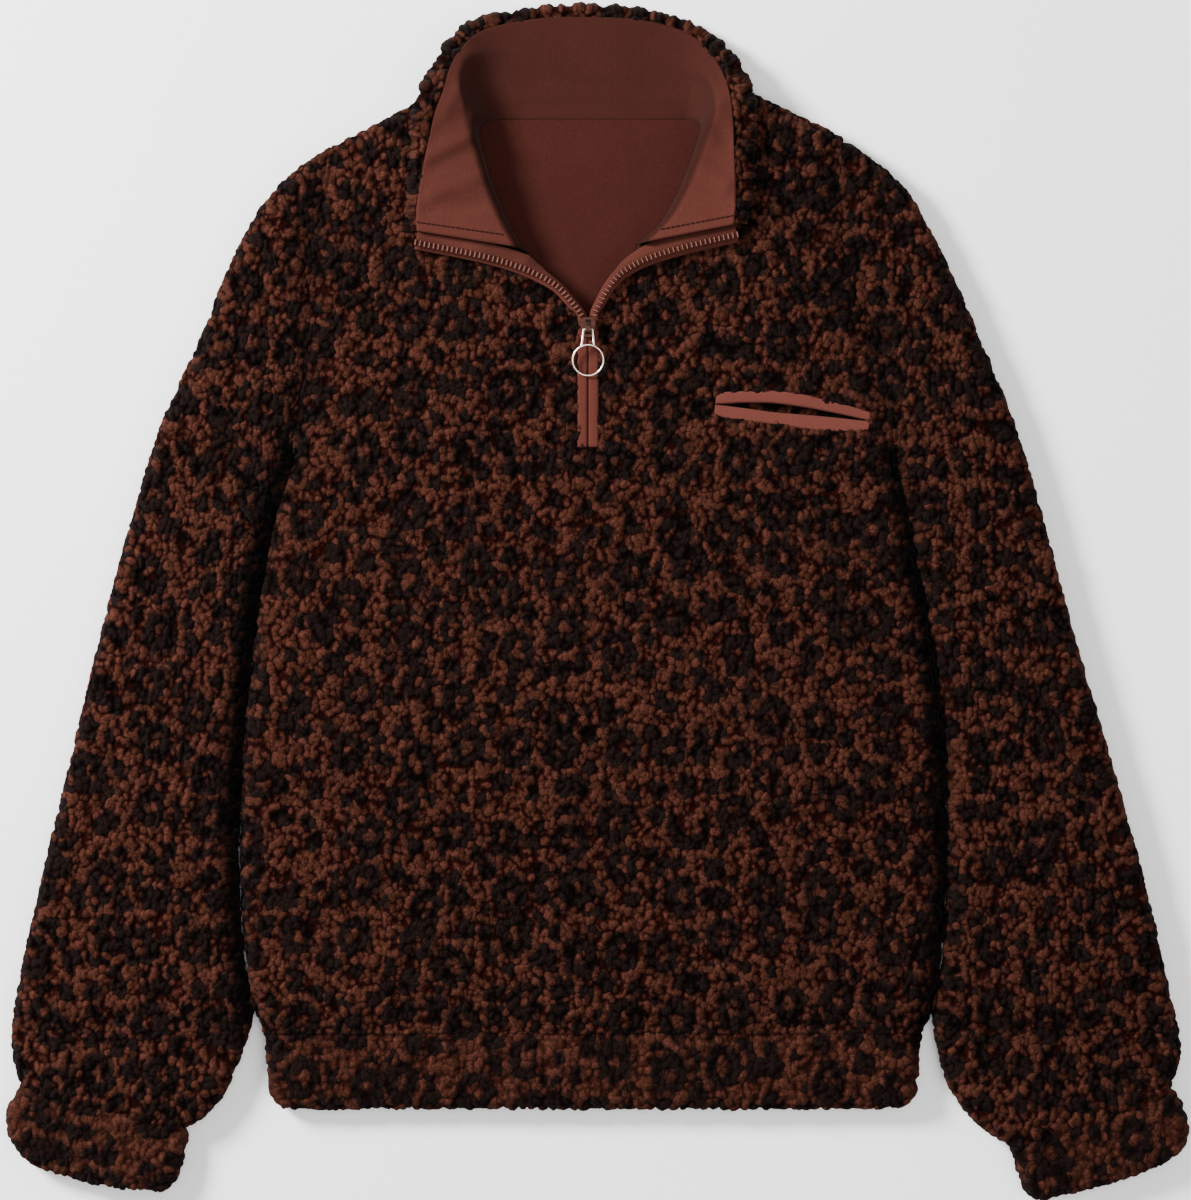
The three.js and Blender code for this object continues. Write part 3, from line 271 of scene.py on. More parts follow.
def level_cloth(points):
    return np.zeros(len(points))


def unit(vectors):
    length = np.linalg.norm(vectors, axis=-1, keepdims=True)
    return vectors / np.where(length > 1e-9, length, 1)


def wall(points, inward, above, cosine, top, thick, waves=relief, gap=0.0, rounding=0.0):
    """Outside and inside of the cloth's wall over points in plan."""
    level = SEAM_LEVEL if waves is relief else top / 2
    sine = np.sqrt(np.clip(1 - cosine ** 2, 0, None))
    rise = waves(points)
    height = (top + rise * sine - level) if above > 0 else np.full(len(points), level)
    outer = np.column_stack([points, level + above * (gap / 2 * (1 - sine) + height * sine)])
    inner = outer + np.column_stack([inward * (thick * cosine)[:, None], -above * thick * sine])
    if above > 0:
        inner[:, 2] += np.clip(-DEEPEST_INSIDE - rise, 0, None) * sine
    middle = (inner - outer) * rounding / 2
    return outer + middle, inner - middle


def across(width, radius, spans, turns=7):
    """Distances across a section, close together round both sides."""
    bend = radius * (1 - np.cos(np.linspace(0, math.pi / 2, turns + 1)))
    return np.concatenate([bend, np.linspace(radius, width - radius, spans + 1)[1:-1], width - bend[::-1]])


chest = wall(np.zeros((1, 2)), np.zeros((1, 2)), 1, np.zeros(1), BODY_TOP, FLEECE)[0][0]
print("height over the chest:", round(float(chest[2]), 1), "mm")

# %% [markdown]
# ## Cloth from grids
#
# A cut piece of cloth is a grid of points bent into place. Solidify could give it its thickness, but
# the wall of the solid is known already, so the ground of the cloth is simply taken part of the way
# through that wall. What is left outside it is room for the pile.

# %% Meshes from grids of points
PILE_STEP = 2.0          # between the points of the pile's face, so that a nub has two or three each way
BACK_PILE_STEP = 2.6     # on the side that the garment lies on
SCALLOP = 0.9            # how much the pile's reach over a cut edge comes and goes
SCALLOP_STEP = (1.1, 2.1)    # least and most turn of the scallops' wave from point to point
SCALLOP_ROWS = 2.5       # how many rows of points the scallops fade over
TOUCHING_WIDTH = 3       # how far from the body's side the pile swells
MATERIALS = {}
dice = np.random.default_rng(11)


def new_object(name, mesh):
    obj = bpy.data.objects.new(name.replace(" ", "_"), mesh)
    bpy.context.scene.collection.objects.link(obj)
    return obj


def grid_faces(rows, columns, closed=False, first=0):
    i, j = np.meshgrid(np.arange(rows - 1), np.arange(columns if closed else columns - 1), indexing="ij")
    k = (j + 1) % columns
    corners = np.stack([i * columns + j, i * columns + k, (i + 1) * columns + k, (i + 1) * columns + j], -1)
    return (corners.reshape(-1, 4) + first).tolist()


def mesh_of(name, points, faces):
    mesh = bpy.data.meshes.new(name)
    mesh.from_pydata((np.asarray(points) * MM).tolist(), [], faces)
    return mesh


def outward_faces(mesh):
    """The closed mesh with all its faces turned outward."""
    shape = bmesh.new()
    shape.from_mesh(mesh)
    bmesh.ops.recalc_face_normals(shape, faces=shape.faces)
    if shape.calc_volume(signed=True) < 0:
        bmesh.ops.reverse_faces(shape, faces=shape.faces)
    shape.to_mesh(mesh)
    shape.free()
    return mesh


def shade_smooth(mesh):
    """Smooth shading on all faces but the many-cornered ends of a strip."""
    for polygon in mesh.polygons:
        polygon.use_smooth = len(polygon.vertices) <= 4
    return mesh


def closed_cloth(name, outer, inner, ring=False):
    """A closed cloth between two grids; ring is a tube that is open at both ends."""
    rows, columns = outer.shape[:2]
    count = rows * columns
    faces = grid_faces(rows, columns, ring) + grid_faces(rows, columns, ring, count)
    if ring:
        rims = [[(row * columns + j) for j in range(columns)] for row in (0, rows - 1)]
    else:
        side = [j for j in range(columns)] + [i * columns + columns - 1 for i in range(1, rows)]
        back = [(rows - 1) * columns + j for j in range(columns - 2, -1, -1)]
        rims = [side + back + [i * columns for i in range(rows - 2, 0, -1)]]
    for rim in rims:
        faces += [(a, b, b + count, a + count) for a, b in zip(rim, rim[1:] + rim[:1])]
    points = np.vstack([outer.reshape(-1, 3), inner.reshape(-1, 3)])
    return shade_smooth(outward_faces(mesh_of(name, points, faces)))


def filled_in(points, others, step, axis, ring=False):
    """Two grids with rows or columns added wherever the first is wider apart than a step."""
    if ring:
        points, others = (np.concatenate([g, np.take(g, [0], axis)], axis) for g in (points, others))
    apart = np.linalg.norm(np.diff(points, axis=axis), axis=2).max(1 - axis)
    counts = np.ceil(apart / step).astype(int)
    places = np.concatenate([i + np.arange(n) / n for i, n in enumerate(counts)] + [[len(apart)]])
    places = places[:-1] if ring else places
    low = np.minimum(places.astype(int), len(apart) - 1)
    share = np.expand_dims(places - low, (1 - axis, 2))
    return [np.take(g, low, axis) * (1 - share) + np.take(g, low + 1, axis) * share for g in (points, others)]


def rounded_end(outer, inner, radius):
    """A grid's last rows, carried in scallops over the cut edge of the cloth to the middle of its wall."""
    middle = (outer + inner) / 2
    onward = unit(middle[-1] - middle[-6])
    waves = np.sin(np.cumsum(dice.uniform(*SCALLOP_STEP, outer.shape[1])))
    waves = np.where(outer[-1][:, 2] > inner[-1][:, 2], waves, -1)[:, None]
    easing = np.exp(-(np.arange(len(outer))[::-1] / SCALLOP_ROWS) ** 2)[:, None, None]
    outer = outer + easing * onward * SCALLOP * radius * waves
    away = unit(outer[-1] - outer[-3]) * radius
    down = (inner[-1] - outer[-1]) * 0.8
    turns = np.radians([25, 50, 70, 90])
    added = np.array([outer[-1] + away * np.sin(turn) + down * (1 - np.cos(turn)) for turn in turns])
    return np.concatenate([outer, added]), np.concatenate([inner, added + down - away])


def painted_valley_shade(points):
    """Painted shade: the share of colour left in the valleys beside the body, on the slopes that face away from
    the light.
    """
    share = np.ones(len(points))
    for line, shift, width, depth in PAINTED_SHADE_VALLEYS:
        distance = nearest(line + [shift, 0], points)[0]
        share *= 1 - depth * np.exp(-(distance / width) ** 2)
    return share


def pile_ground(name, outer, inner, ring=False, keep=None, ends=(0, 0), step=PILE_STEP):
    """The open outer face of a cloth, facing away from its inside, on which the pile is grown."""
    outer, inner = filled_in(*filled_in(outer, inner, step, 0), step, 1, ring)
    for radius in ends:
        if radius:
            outer, inner = rounded_end(outer, inner, radius)
        outer, inner = outer[::-1], inner[::-1]
    rows, columns = outer.shape[:2]
    points, inside = outer.reshape(-1, 3), inner.reshape(-1, 3)
    faces = np.array(grid_faces(rows, columns, ring))
    corners = points[faces]
    normals = np.cross(corners[:, 2] - corners[:, 0], corners[:, 3] - corners[:, 1])
    if (normals * (points - inside)[faces].mean(1)).sum() < 0:
        faces = faces[:, ::-1]
    if keep is not None:
        faces = faces[keep(corners.mean(1))]
    mesh = mesh_of(name, points, faces.tolist())
    # The painted valley shade, as a share of the pile's colour
    shares = mesh.attributes.new("valley_painted_shade", "FLOAT", "POINT")
    shares.data.foreach_set("value", painted_valley_shade(points[:, :2]))
    touching = mesh.attributes.new("touching", "FLOAT", "POINT")
    sides = [side["body_line"][SPARSE] for side in (RIGHT, LEFT)]
    beside = np.min([nearest(line, points[:, :2])[0] for line in sides], axis=0)
    touching.data.foreach_set("value", np.exp(-(beside / TOUCHING_WIDTH) ** 2))
    return mesh


def ground_of(outer, inner):
    """The knitted ground within a wall: its face under the pile, and its back."""
    depth = inner - outer
    return outer + depth * PILE_SHARE, outer + depth * (PILE_SHARE + GROUND_SHARE)


# %% [markdown]
# ## Front and back
#
# Both panels are cut to one outline: up the side seam, round the armhole, and along the shoulder. Rows
# of points run from side to side, first over the part below the underarm, then from armhole to armhole,
# and the last rows climb with the shoulder. The front has the neck, the zip's slot and the pocket cut
# out of it afterwards with a Boolean, as scissors would.

# %% The body's grid
BODY_ROWS = np.concatenate([[-281.85], np.arange(-276, 84, 7.5)])


def towards_middle(points):
    """The way along a section from its two ends to its middle."""
    step = np.diff(points, axis=0)
    toward = np.where(np.arange(len(points)) < len(points) / 2, 1, -1)[:, None]
    return unit(np.vstack([step, step[-1:]]) * toward)


def armhole_points(side, spans=34):
    length = length_of(side["armhole_line"])
    samples = across(length, FOLD_RADIUS, spans)
    return along(side["armhole_line"], samples / length), samples, length


def body_grid(spans=56):
    rows = []
    for y in BODY_ROWS:
        ends = [across_line(side["body_line"], 1, y) - side["out"] * SIDE_CLEARANCE for side in (RIGHT, LEFT)]
        rows.append((np.array([ends[0], y]), np.array([ends[1], y]), None, None, 0))
    (right, at, length), (left, _, _) = armhole_points(RIGHT), armhole_points(LEFT)
    right_in, left_in = towards_middle(right), towards_middle(left)
    climb = np.clip(at / (length - FOLD_RADIUS), 0, 1)
    climb = climb ** 2 * (3 - 2 * climb)
    apart = [ARMHOLE_GAP / 2, 0]
    rows += zip(right + apart, left - apart, right_in, left_in, climb)
    top = rows[-1]
    grid, inward = [], []
    for start, end, start_in, end_in, lift in rows:
        width = np.linalg.norm(end - start)
        share = (across(width, FOLD_RADIUS, spans) / width)[:, None]
        points = start + (end - start) * share
        level = top[0][1] + (top[1][1] - top[0][1]) * share[:, 0]
        slope = across_line(shoulder_line, 0, points[:, 0]) - level
        points[1:-1, 1] += (slope * lift)[1:-1]
        foot = nearest_fold(points)[1]
        way = unit(points - foot)
        if start_in is not None:
            way[0], way[-1] = start_in, end_in
        grid.append(points)
        inward.append(way)
    return np.array(grid), np.array(inward)


def panel(grid, inward, above):
    flat = grid.reshape(-1, 2)
    distance = nearest_fold(flat)[0]
    cosine = 1 - np.clip((distance - SIDE_CLEARANCE) / FOLD_RADIUS, 0, 1)
    outer, inner = wall(flat, inward.reshape(-1, 2), above, cosine, BODY_TOP, FLEECE, gap=SEAM_GAP)
    shape = grid.shape[:2] + (3,)
    return outer.reshape(shape), inner.reshape(shape)


grid, inward = body_grid()
front_wall = panel(grid, inward, 1)
back_wall = panel(grid, inward, -1)
print("body:", grid.shape[0], "rows of", grid.shape[1])

# %% [markdown]
# ## Collar and facing
#
# The stand collar is a band of fleece with a jersey facing. Behind the neck it lies open on the
# surface; at both fronts it is turned outward, so the facing shows and the fleece is only a rim. Lofting
# a section along the neck line suits that: a table says, station by station, where the collar is sewn
# on, where its crest is, where its edge is, and how much of it is turned.

# %% The collar's stations and sections
COLLAR_KEYS = ("turn", "bx", "by", "cx", "cy", "cz", "ex", "ey", "ez", "rim")
COLLAR_ROWS = [
    (1, -49.5, 227.3, -54, 228.2, 32.8, -121, 239, 32.2, 5),
    (1, -59.5, 245.5, -64, 246.5, 34, -122, 254, 32.2, 6),
    (1, -68.5, 267.5, -73, 269, 35, -121.5, 277, 32.2, 9),
    (1, -75, 288.5, -79.5, 290.5, 35.5, -120.5, 301, 32.2, 13),
    (1, -78, 303.5, -84, 307.5, 35.5, -119, 320, 31.2, 16),
    (0.8, -75, 311, -87, 324, 34, -112, 336, 30.4, 15),
    (0.4, -70, 313.5, -89, 339, 29.5, -104, 351, 26, 12),
    (0.08, -64, 313, -82, 353, 21, -93, 367.5, 19, 11),
    (0, -54, 312.5, -64, 355, 10.5, -76, 379, 12, 9),
    (0, -28, 312, -34, 356, 8, -40, 386, 8.5, 8),
    (0, 0, 312, 0, 356, 8, -4, 388.6, 8.3, 9.5),
    (0, 28, 312, 32, 353, 8, 30, 385, 8.5, 8),
    (0, 52, 312.5, 58, 348, 11, 59, 376.5, 12, 8),
    (0.08, 62, 313, 69, 342, 19, 79, 364, 18, 11),
    (0.4, 67, 312.5, 75, 331, 27, 93, 348, 26.5, 14),
    (0.8, 69, 308, 77, 317, 34, 101, 332, 31.4, 17),
    (1, 67, 298, 72.5, 301, 35.2, 103, 313, 31.6, 16),
    (1, 61.5, 281, 66, 282, 35.2, 102.5, 290, 32.2, 14),
    (1, 53.5, 262, 58, 263, 34.6, 101.5, 270, 32.2, 12),
    (1, 43.5, 245, 48, 246, 34, 99.5, 255.5, 32.2, 10),
    (1, 29, 230.5, 33.5, 231.4, 32.8, 96.5, 244, 32.2, 8),
]
FACING_OFF = 0.5
JERSEY = 1.2


def collar_stations(count):
    """The table filled in smoothly, as count + 1 stations."""
    table = np.array(COLLAR_ROWS, float)
    table = np.vstack([2 * table[0] - table[1], table, 2 * table[-1] - table[-2]])
    place = np.linspace(0, len(COLLAR_ROWS) - 1, count + 1)
    i = np.minimum(place.astype(int), len(COLLAR_ROWS) - 2)
    t = (place - i)[:, None]
    a, b, c, d = (table[i + k] for k in range(4))
    filled = b + 0.5 * t * (c - a + t * (2 * a - 5 * b + 4 * c - d + t * (3 * (b - c) + d - a)))
    stations = [dict(zip(COLLAR_KEYS, row)) for row in filled]
    for station in stations:
        turn = min(1, max(0, station["turn"]))
        station["turn"] = 0 if turn < 0.03 else 1 if turn > 0.97 else turn
        station["cz"] = max(station["cz"], COLLAR_FLEECE)
        station["ez"] = max(station["ez"], COLLAR_FLEECE)
    return stations


def mix(a, b, share):
    return a + (b - a) * share


def collar_section(station):
    """The collar's upper line as s, z rows, and the function that puts them in place."""
    turn, cz, ez = station["turn"], station["cz"], station["ez"]
    b, c, e = (np.array([station[key + "x"], station[key + "y"]]) for key in "bce")
    crest = np.linalg.norm(c - b)
    width = crest + np.linalg.norm(e - c)
    rise = mix(COLLAR_FLEECE, 27, turn)
    low = mix(COLLAR_FLEECE - 0.6, FRONT_UNDERSIDE + SEAM_GAP + 0.4, turn ** 3)
    upper = np.array([
        (0, low), (0, rise), (crest * 0.3, mix(rise, cz, mix(0.2, 0.68, turn))),
        (crest * 0.74, mix(rise, cz, mix(0.45, 0.95, turn))), (crest, cz),
        (mix(crest, width, 0.33), mix(cz, ez, 0.4)), (mix(crest, width, 0.66), mix(cz, ez, 0.75)),
        (width, ez),
    ])

    def place(rows):
        s = rows[:, 0:1]
        plan = np.where(s < crest, b + (c - b) * s / crest, c + (e - c) * (s - crest) / (width - crest))
        return np.column_stack([plan, rows[:, 1]])

    return upper, place, crest, width


def offset_path(path, distance):
    """A path in s and z moved sideways, out of the neck and up; distance is one number or a column."""
    step = unit(np.gradient(path, axis=0))
    return path + np.column_stack([-step[:, 1], step[:, 0]]) * distance


stations = collar_stations(150)
print("collar:", len(stations), "stations,", round(collar_section(stations[75])[3], 1), "mm deep at the back")

# %% Facing, the collar's ground, and where its pile grows
TIP = 4.2                # from the collar's edge back to the end of its ground
GROUND_SUNK = (0.4, 3)   # the ground below the collar's line: under the facing, and more under the rim
GROUND_BACK = 4.8        # the back of the ground
PILE_ROOT = 3.4          # root of the rim's pile
WALL_MIDDLE = 4.1
TURNED_UNDER = 7         # how near the crest the pile reaches on the underside


def path_to(path, s_end, pieces):
    keep = path[:, 0] < s_end
    end = [s_end, np.interp(s_end, path[:, 0], path[:, 1])]
    return spaced(np.vstack([path[keep], [end]]), pieces)


# Soft drag lines of the facing: x and y of both ends, half width, rise
FACING_WAVES = [
    (-108, 286, -80, 300, 4, 2.2), (-110, 276, -78, 290, 4, -1.8), (-106, 262, -70, 274, 4, 1.8),
    (-104, 300, -86, 312, 4, -1.6), (-108, 252, -66, 258, 4, -1.6), (-96, 318, -86, 334, 4, 1.4),
    (84, 268, 62, 284, 5, 1.8), (86, 254, 50, 266, 5, -1.4), (84, 296, 70, 318, 5, -1.4),
    (-50, 324.5, 62, 322, 6, 2.4), (-40, 340, 60, 318, 8, -0.8), (-70, 360, 20, 346, 16, 0.8),
]
FACING_LIMITS = (-1.2, 2.2)
# Painted light on the facing, from 0 for the darkest painted shade to 1: behind the neck, and up each turned
# front, right and left
PAINTED_LIGHT_BEHIND = 0.2
PAINTED_LIGHT_TURNED = {-1: ((228, 270, 315), (0.78, 0.51, 0.3)), 1: ((228, 263, 315), (1, 1, 0.6))}
facing_painted_light, facing_top, facing_back, collar_top, collar_back, rim_face, rim_core = ([] for _ in range(7))
for station in stations:
    upper, place, crest, width = collar_section(station)
    line = smooth_line(upper, 120)
    end = width - station["rim"]
    facing = path_to(line, end, 46)
    facing_back.append(place(offset_path(facing, FACING_OFF)))
    # Painted light on the facing: light past the crest of a turned front, painted shade on its inner wall and
    # behind the neck
    over_crest = np.clip((facing[:, 0] - crest) / 2.5 + 0.4, 0, 1)
    toward_light = np.interp(station["cy"], *PAINTED_LIGHT_TURNED[np.sign(station["cx"])]) if station["turn"] else 0
    facing_painted_light.append(mix(np.full(len(facing), PAINTED_LIGHT_BEHIND), over_crest * toward_light, station["turn"]))
    lifted = place(offset_path(facing, FACING_OFF + JERSEY))
    from_seam_on = np.clip(np.linspace(-0.6, 3, len(lifted)), 0, 1)
    lifted[:, 2] += np.clip(waves_at(lifted[:, :2], FACING_WAVES), *FACING_LIMITS) * from_seam_on
    facing_top.append(lifted)
    tip = width - TIP
    cloth = path_to(line, tip, 56)
    bare = np.clip((cloth[:, 0] - end + 1) / 3, 0, 1)[:, None]
    collar_top.append(place(offset_path(cloth, -(GROUND_SUNK[0] + GROUND_SUNK[1] * bare))))
    collar_back.append(place(offset_path(cloth, -GROUND_BACK)))
    over = np.linspace(end - 1, tip, 7)
    under = np.linspace(tip, min(crest + TURNED_UNDER, tip - 6), 12)
    over_z, under_z = (np.interp(s, line[:, 0], line[:, 1]) for s in (over, under))
    for sections, over_sunk, tip_at, under_sunk in (
        (rim_face, PILE_ROOT, tip + 0.7, GROUND_BACK), (rim_core, WALL_MIDDLE, tip - 1, WALL_MIDDLE),
    ):
        turn = [(tip_at, over_z[-1] - WALL_MIDDLE)]
        upper_side = np.column_stack([over, over_z - over_sunk])
        sections.append(place(np.vstack([upper_side, turn, np.column_stack([under, under_z - under_sunk])])))
facing_mesh = closed_cloth("collar facing", np.array(facing_top), np.array(facing_back))
# The painted light and shade go on the facing's points for its material
nap = facing_mesh.attributes.new("nap", "FLOAT", "POINT")
nap.data.foreach_set("value", np.tile(np.ravel(facing_painted_light), 2))
collar_mesh = closed_cloth("collar ground", np.array(collar_top), np.array(collar_back))
collar_pile = pile_ground("collar pile", np.array(rim_face), np.array(rim_core))
print("facing:", len(facing_mesh.polygons), "faces")

# %% [markdown]
# ## Cutting the neck, the zip's slot and the pocket
#
# Scissors cut straight through the cloth, and a Boolean with an upright block does the same. The pile
# is grown on the cloth's open face, so there the cut is simply faces left out. They are left out a
# little inside the outline, because the pile beside a sewn-in lip leans over it and hides its edge.

# %% Outlines of the cuts
NECK_CORNER_RIGHT = [(-85, 317), (-90, 345)]
NECK_CORNER_LEFT = [(80, 345), (76.5, 314)]
V_RIGHT = [(-48, 226.4), (-33, 210), (-24, 199.5), (-17.2, 188.6)]
V_LEFT = [(4, 189), (9.5, 200), (16.5, 212), (27.5, 229.6)]
ZIP_X = -5.5
SLOT = {"half": 7.3, "foot": 98.7, "head": 182.6}
BACK_BELOW_COLLAR = 1.9
BACK_CORNER_RIGHT = [(-75, 308.6), (-82, 319), (-85, 345)]
BACK_CORNER_LEFT = [(79, 345), (76, 319), (70.5, 306.5)]
POCKET = {"x": 77, "y": 126.8, "length": 100.6, "tilt": -6.2}
# at, top, upper edge of the slit, lower edge of the slit, foot
POCKET_ROWS = np.array([
    (0, 6.6, 0.2, -0.2, -6.4), (0.06, 8.8, 1, -0.2, -8), (0.2, 10.8, 3.2, -0.5, -8.8), (0.4, 13, 4.8, -1, -9),
    (0.55, 12.6, 4.4, -0.6, -9.6), (0.75, 10, 2.9, -0.2, -9.6), (0.93, 7.2, 1, -0.2, -7.4),
    (1, 5.6, 0.2, -0.2, -5.6),
])


def from_seam(station, distance):
    return tuple(collar_section(station)[1](np.array([[distance, 0.0]]))[0][:2])


def pocket_point(at, height):
    tilt = math.radians(POCKET["tilt"])
    run = at * POCKET["length"]
    return (
        POCKET["x"] + run * math.cos(tilt) - height * math.sin(tilt),
        POCKET["y"] + run * math.sin(tilt) + height * math.cos(tilt),
    )


coarse = collar_stations(26)
half = len(coarse) // 2
seam_right, seam_left = (
    [from_seam(station, COLLAR_FLEECE + SEAM_GAP) for station in part if station["turn"] == 1]
    for part in (coarse[:half], coarse[half:])
)
slot_right, slot_left = (
    [(ZIP_X + side * SLOT["half"], SLOT[end]) for end in ("foot", "head")] for side in (-1, 1)
)
NECK_CUT = slot_right + V_RIGHT[::-1] + seam_right + NECK_CORNER_RIGHT
NECK_CUT += NECK_CORNER_LEFT + seam_left + V_LEFT[::-1] + slot_left[::-1]
POCKET_CUT = [pocket_point(row[0], row[1] + SEAM_GAP) for row in POCKET_ROWS]
POCKET_CUT += [pocket_point(row[0], row[4] - SEAM_GAP) for row in POCKET_ROWS[::-1]]
behind_neck = [from_seam(s, -BACK_BELOW_COLLAR) for s in coarse if s["turn"] < 0.5]
BACK_CUT = BACK_CORNER_RIGHT[::-1] + behind_neck + BACK_CORNER_LEFT[::-1]
PILE_OVER_LIP = (3.1, 1.3)     # beside the closed zip and the pocket, and beside the open zip
BLADE_REACH = (-20, 60)


def within(points, outline):
    """Which points lie inside an outline in plan."""
    x, y = points[:, 0], points[:, 1]
    found = np.zeros(len(points), bool)
    for (x1, y1), (x2, y2) in zip(outline, outline[1:] + outline[:1]):
        if y1 != y2:
            found ^= ((y1 > y) != (y2 > y)) & (x < (x2 - x1) * (y - y1) / (y2 - y1) + x1)
    return found


def deep_within(points, outline):
    """Which points lie inside an outline and further from it than the pile reaches."""
    outline_line = np.array(outline + outline[:1], float)
    inside = within(points, outline)
    reach = np.where(points[inside][:, 1] < SLOT["head"], *PILE_OVER_LIP)
    inside[inside] = nearest(outline_line, points[inside][:, :2])[0] > reach
    return inside


def block_mesh(name, outline, low, high):
    count = len(outline)
    points = [(x, y, z) for z in (low, high) for x, y in outline]
    faces = [tuple(range(count)), tuple(range(count, 2 * count))]
    faces += [(i, (i + 1) % count, (i + 1) % count + count, i + count) for i in range(count)]
    return outward_faces(mesh_of(name, points, faces))


def cut_out(mesh, outlines):
    """The mesh with upright blocks cut out of it."""
    cloth = new_object(mesh.name, mesh)
    for outline in outlines:
        blade = new_object("blade", block_mesh("blade", outline, *BLADE_REACH))
        cut = cloth.modifiers.new("cut", "BOOLEAN")
        cut.operation, cut.solver, cut.object = "DIFFERENCE", "MANIFOLD", blade
        done = bpy.data.meshes.new_from_object(cloth.evaluated_get(bpy.context.evaluated_depsgraph_get()))
        cloth.modifiers.clear()
        cloth.data = done
        bpy.data.objects.remove(blade)
    bpy.data.objects.remove(cloth)
    return done


front_ground, back_ground = ground_of(*front_wall), ground_of(*back_wall)
front_mesh = cut_out(closed_cloth("front ground", *front_ground), [NECK_CUT, POCKET_CUT])
back_mesh = cut_out(closed_cloth("back ground", *back_ground), [BACK_CUT])
front_pile = pile_ground(
    "front pile", *front_ground,
    keep=lambda centre: ~(deep_within(centre, NECK_CUT) | deep_within(centre, POCKET_CUT)),
)
back_pile = pile_ground(
    "back pile", *back_ground, keep=lambda centre: ~within(centre, BACK_CUT), step=BACK_PILE_STEP,
)
print("faces after the cuts: front", len(front_mesh.polygons), "back", len(back_mesh.polygons))

# %% [markdown]
# ## Sleeves, cuffs and hem band
#
# These are tubes pressed flat. A cylinder could be squashed, but then both folded sides would be
# straight. Rings laid from the inner side to the outer side follow the real lines, and each ring is
# closed over and under. The rings start on the armhole, so they are bowed like it at first.

# %% Rings and tubes
# Share of the outer side, share of the inner side, how much the ring is bowed like the armhole
SLEEVE_RINGS = np.array([
    (0, 0, 1), (0.06, 0.012, 0.8), (0.14, 0.04, 0.55), (0.22, 0.08, 0.35), (0.3, 0.14, 0.2),
    (0.38, 0.22, 0.08), (0.47, 0.32, 0), (0.56, 0.43, 0), (0.65, 0.54, 0), (0.74, 0.64, 0), (0.81, 0.73, 0),
    (0.87, 0.82, 0),
    (0.92, 0.89, 0), (0.96, 0.95, 0), (0.985, 0.98, 0), (1, 1, 0),
])
SEWN_END, FREE_END = 0.8, 2.0    # how far the pile goes round the end of a tube
# y, right, left, top, rounding
HEM_ROWS = np.array([
    (-282.15, -216, 211.5, 19.4, 0), (-290, -215.5, 210.5, 21, 0), (-306, -214.5, 210, 21.2, 0),
    (-319, -213.5, 209, 20.8, 0.1), (-325, -211, 205, 19.4, 0.45), (-327.5, -207, 200, 17.6, 0.75),
])
# inner x and y, outer x and y, top, bow, rounding
CUFF_RIGHT = [
    (-265, -350, -384, -331, 21.4, 0, 0), (-268, -363, -384, -344, 21.6, 1, 0),
    (-271, -374, -378, -356, 21, 3, 0.15), (-276, -380.5, -369, -362.5, 18, 5, 0.7),
]
CUFF_LEFT = [
    (270, -361, 382, -327, 21.4, 0, 0), (273, -372, 385.5, -341, 21.6, 0.5, 0),
    (277, -383, 383, -354, 21, 1, 0.15), (283, -388, 373, -361.5, 18, 2.5, 0.7),
]


def finer(rows, count):
    """A table's rows, filled in evenly between them."""
    rows = np.asarray(rows, float)
    return columns_at(rows, np.linspace(0, len(rows) - 1, count + 1), range(len(rows)))


def ring_loops(points, cosine, top, thick, waves, rounding=0.0):
    cosine = cosine.copy()
    cosine[0] = cosine[-1] = 1
    inward = towards_middle(points)
    over = wall(points, inward, 1, cosine, top, thick, waves, rounding=rounding)
    under = wall(points, inward, -1, cosine, top, thick, waves, rounding=rounding)
    return [np.vstack([a, b[-2:0:-1]]) for a, b in zip(over, under)]


def sleeve_loops(side, count=90, spans=24):
    armhole = armhole_points(side, spans)[0]
    armhole = armhole + [side["out"] * ARMHOLE_GAP / 2, 0]
    loops = []
    for out_share, in_share, bow in finer(SLEEVE_RINGS, count):
        start = along(side["inner_line"], [in_share])[0] + [side["out"] * SIDE_CLEARANCE, 0]
        end = along(side["outer_line"], [out_share])[0]
        width = np.linalg.norm(end - start)
        share = across(width, FOLD_RADIUS, spans)[:, None] / width
        points = start + (end - start) * share
        bowed = across_line(armhole, 1, mix(armhole[0, 1], armhole[-1, 1], share[:, 0]))
        points[:, 0] += (bowed - mix(armhole[0, 0], armhole[-1, 0], share[:, 0])) * bow
        if out_share == 0:
            points = armhole
        cosine = 1 - np.clip(nearest_fold(points)[0] / FOLD_RADIUS, 0, 1)
        loops.append(ring_loops(points, cosine, BODY_TOP, FLEECE, relief))
    return [np.array(side) for side in zip(*loops)]


def band_loops(rows, spans=24):
    """Rows of start x, y, end x, y, top, bow and rounding, as a flat tube."""
    loops = []
    for row in rows:
        start, end, (top, bow, rounding) = row[:2], row[2:4], row[4:]
        width = np.linalg.norm(end - start)
        down = unit(np.array([end[1] - start[1], start[0] - end[0]]))
        share = across(width, top / 2, spans)[:, None] / width
        points = start + (end - start) * share - down * np.sign(down[1]) * bow * 4 * share * (1 - share)
        reach = np.minimum(np.linalg.norm(points - start, axis=1), np.linalg.norm(points - end, axis=1))
        cosine = 1 - np.clip(reach / (top / 2), 0, 1)
        loops.append(ring_loops(points, cosine, top, BAND_FLEECE, level_cloth, rounding))
    return [np.array(side) for side in zip(*loops)]


def cuff_loops(side, rows):
    inner, outer = side["inner_line"][-1], side["outer_line"][-1]
    run = unit(outer - inner)
    down = np.array([run[1], -run[0]])
    down = down * -np.sign(down[1]) * SEAM_GAP
    seam = [*(inner + down + run * 1.5), *(outer + down - run * 1.5), 20, 0, 0]
    return band_loops(finer([seam] + rows, 18))


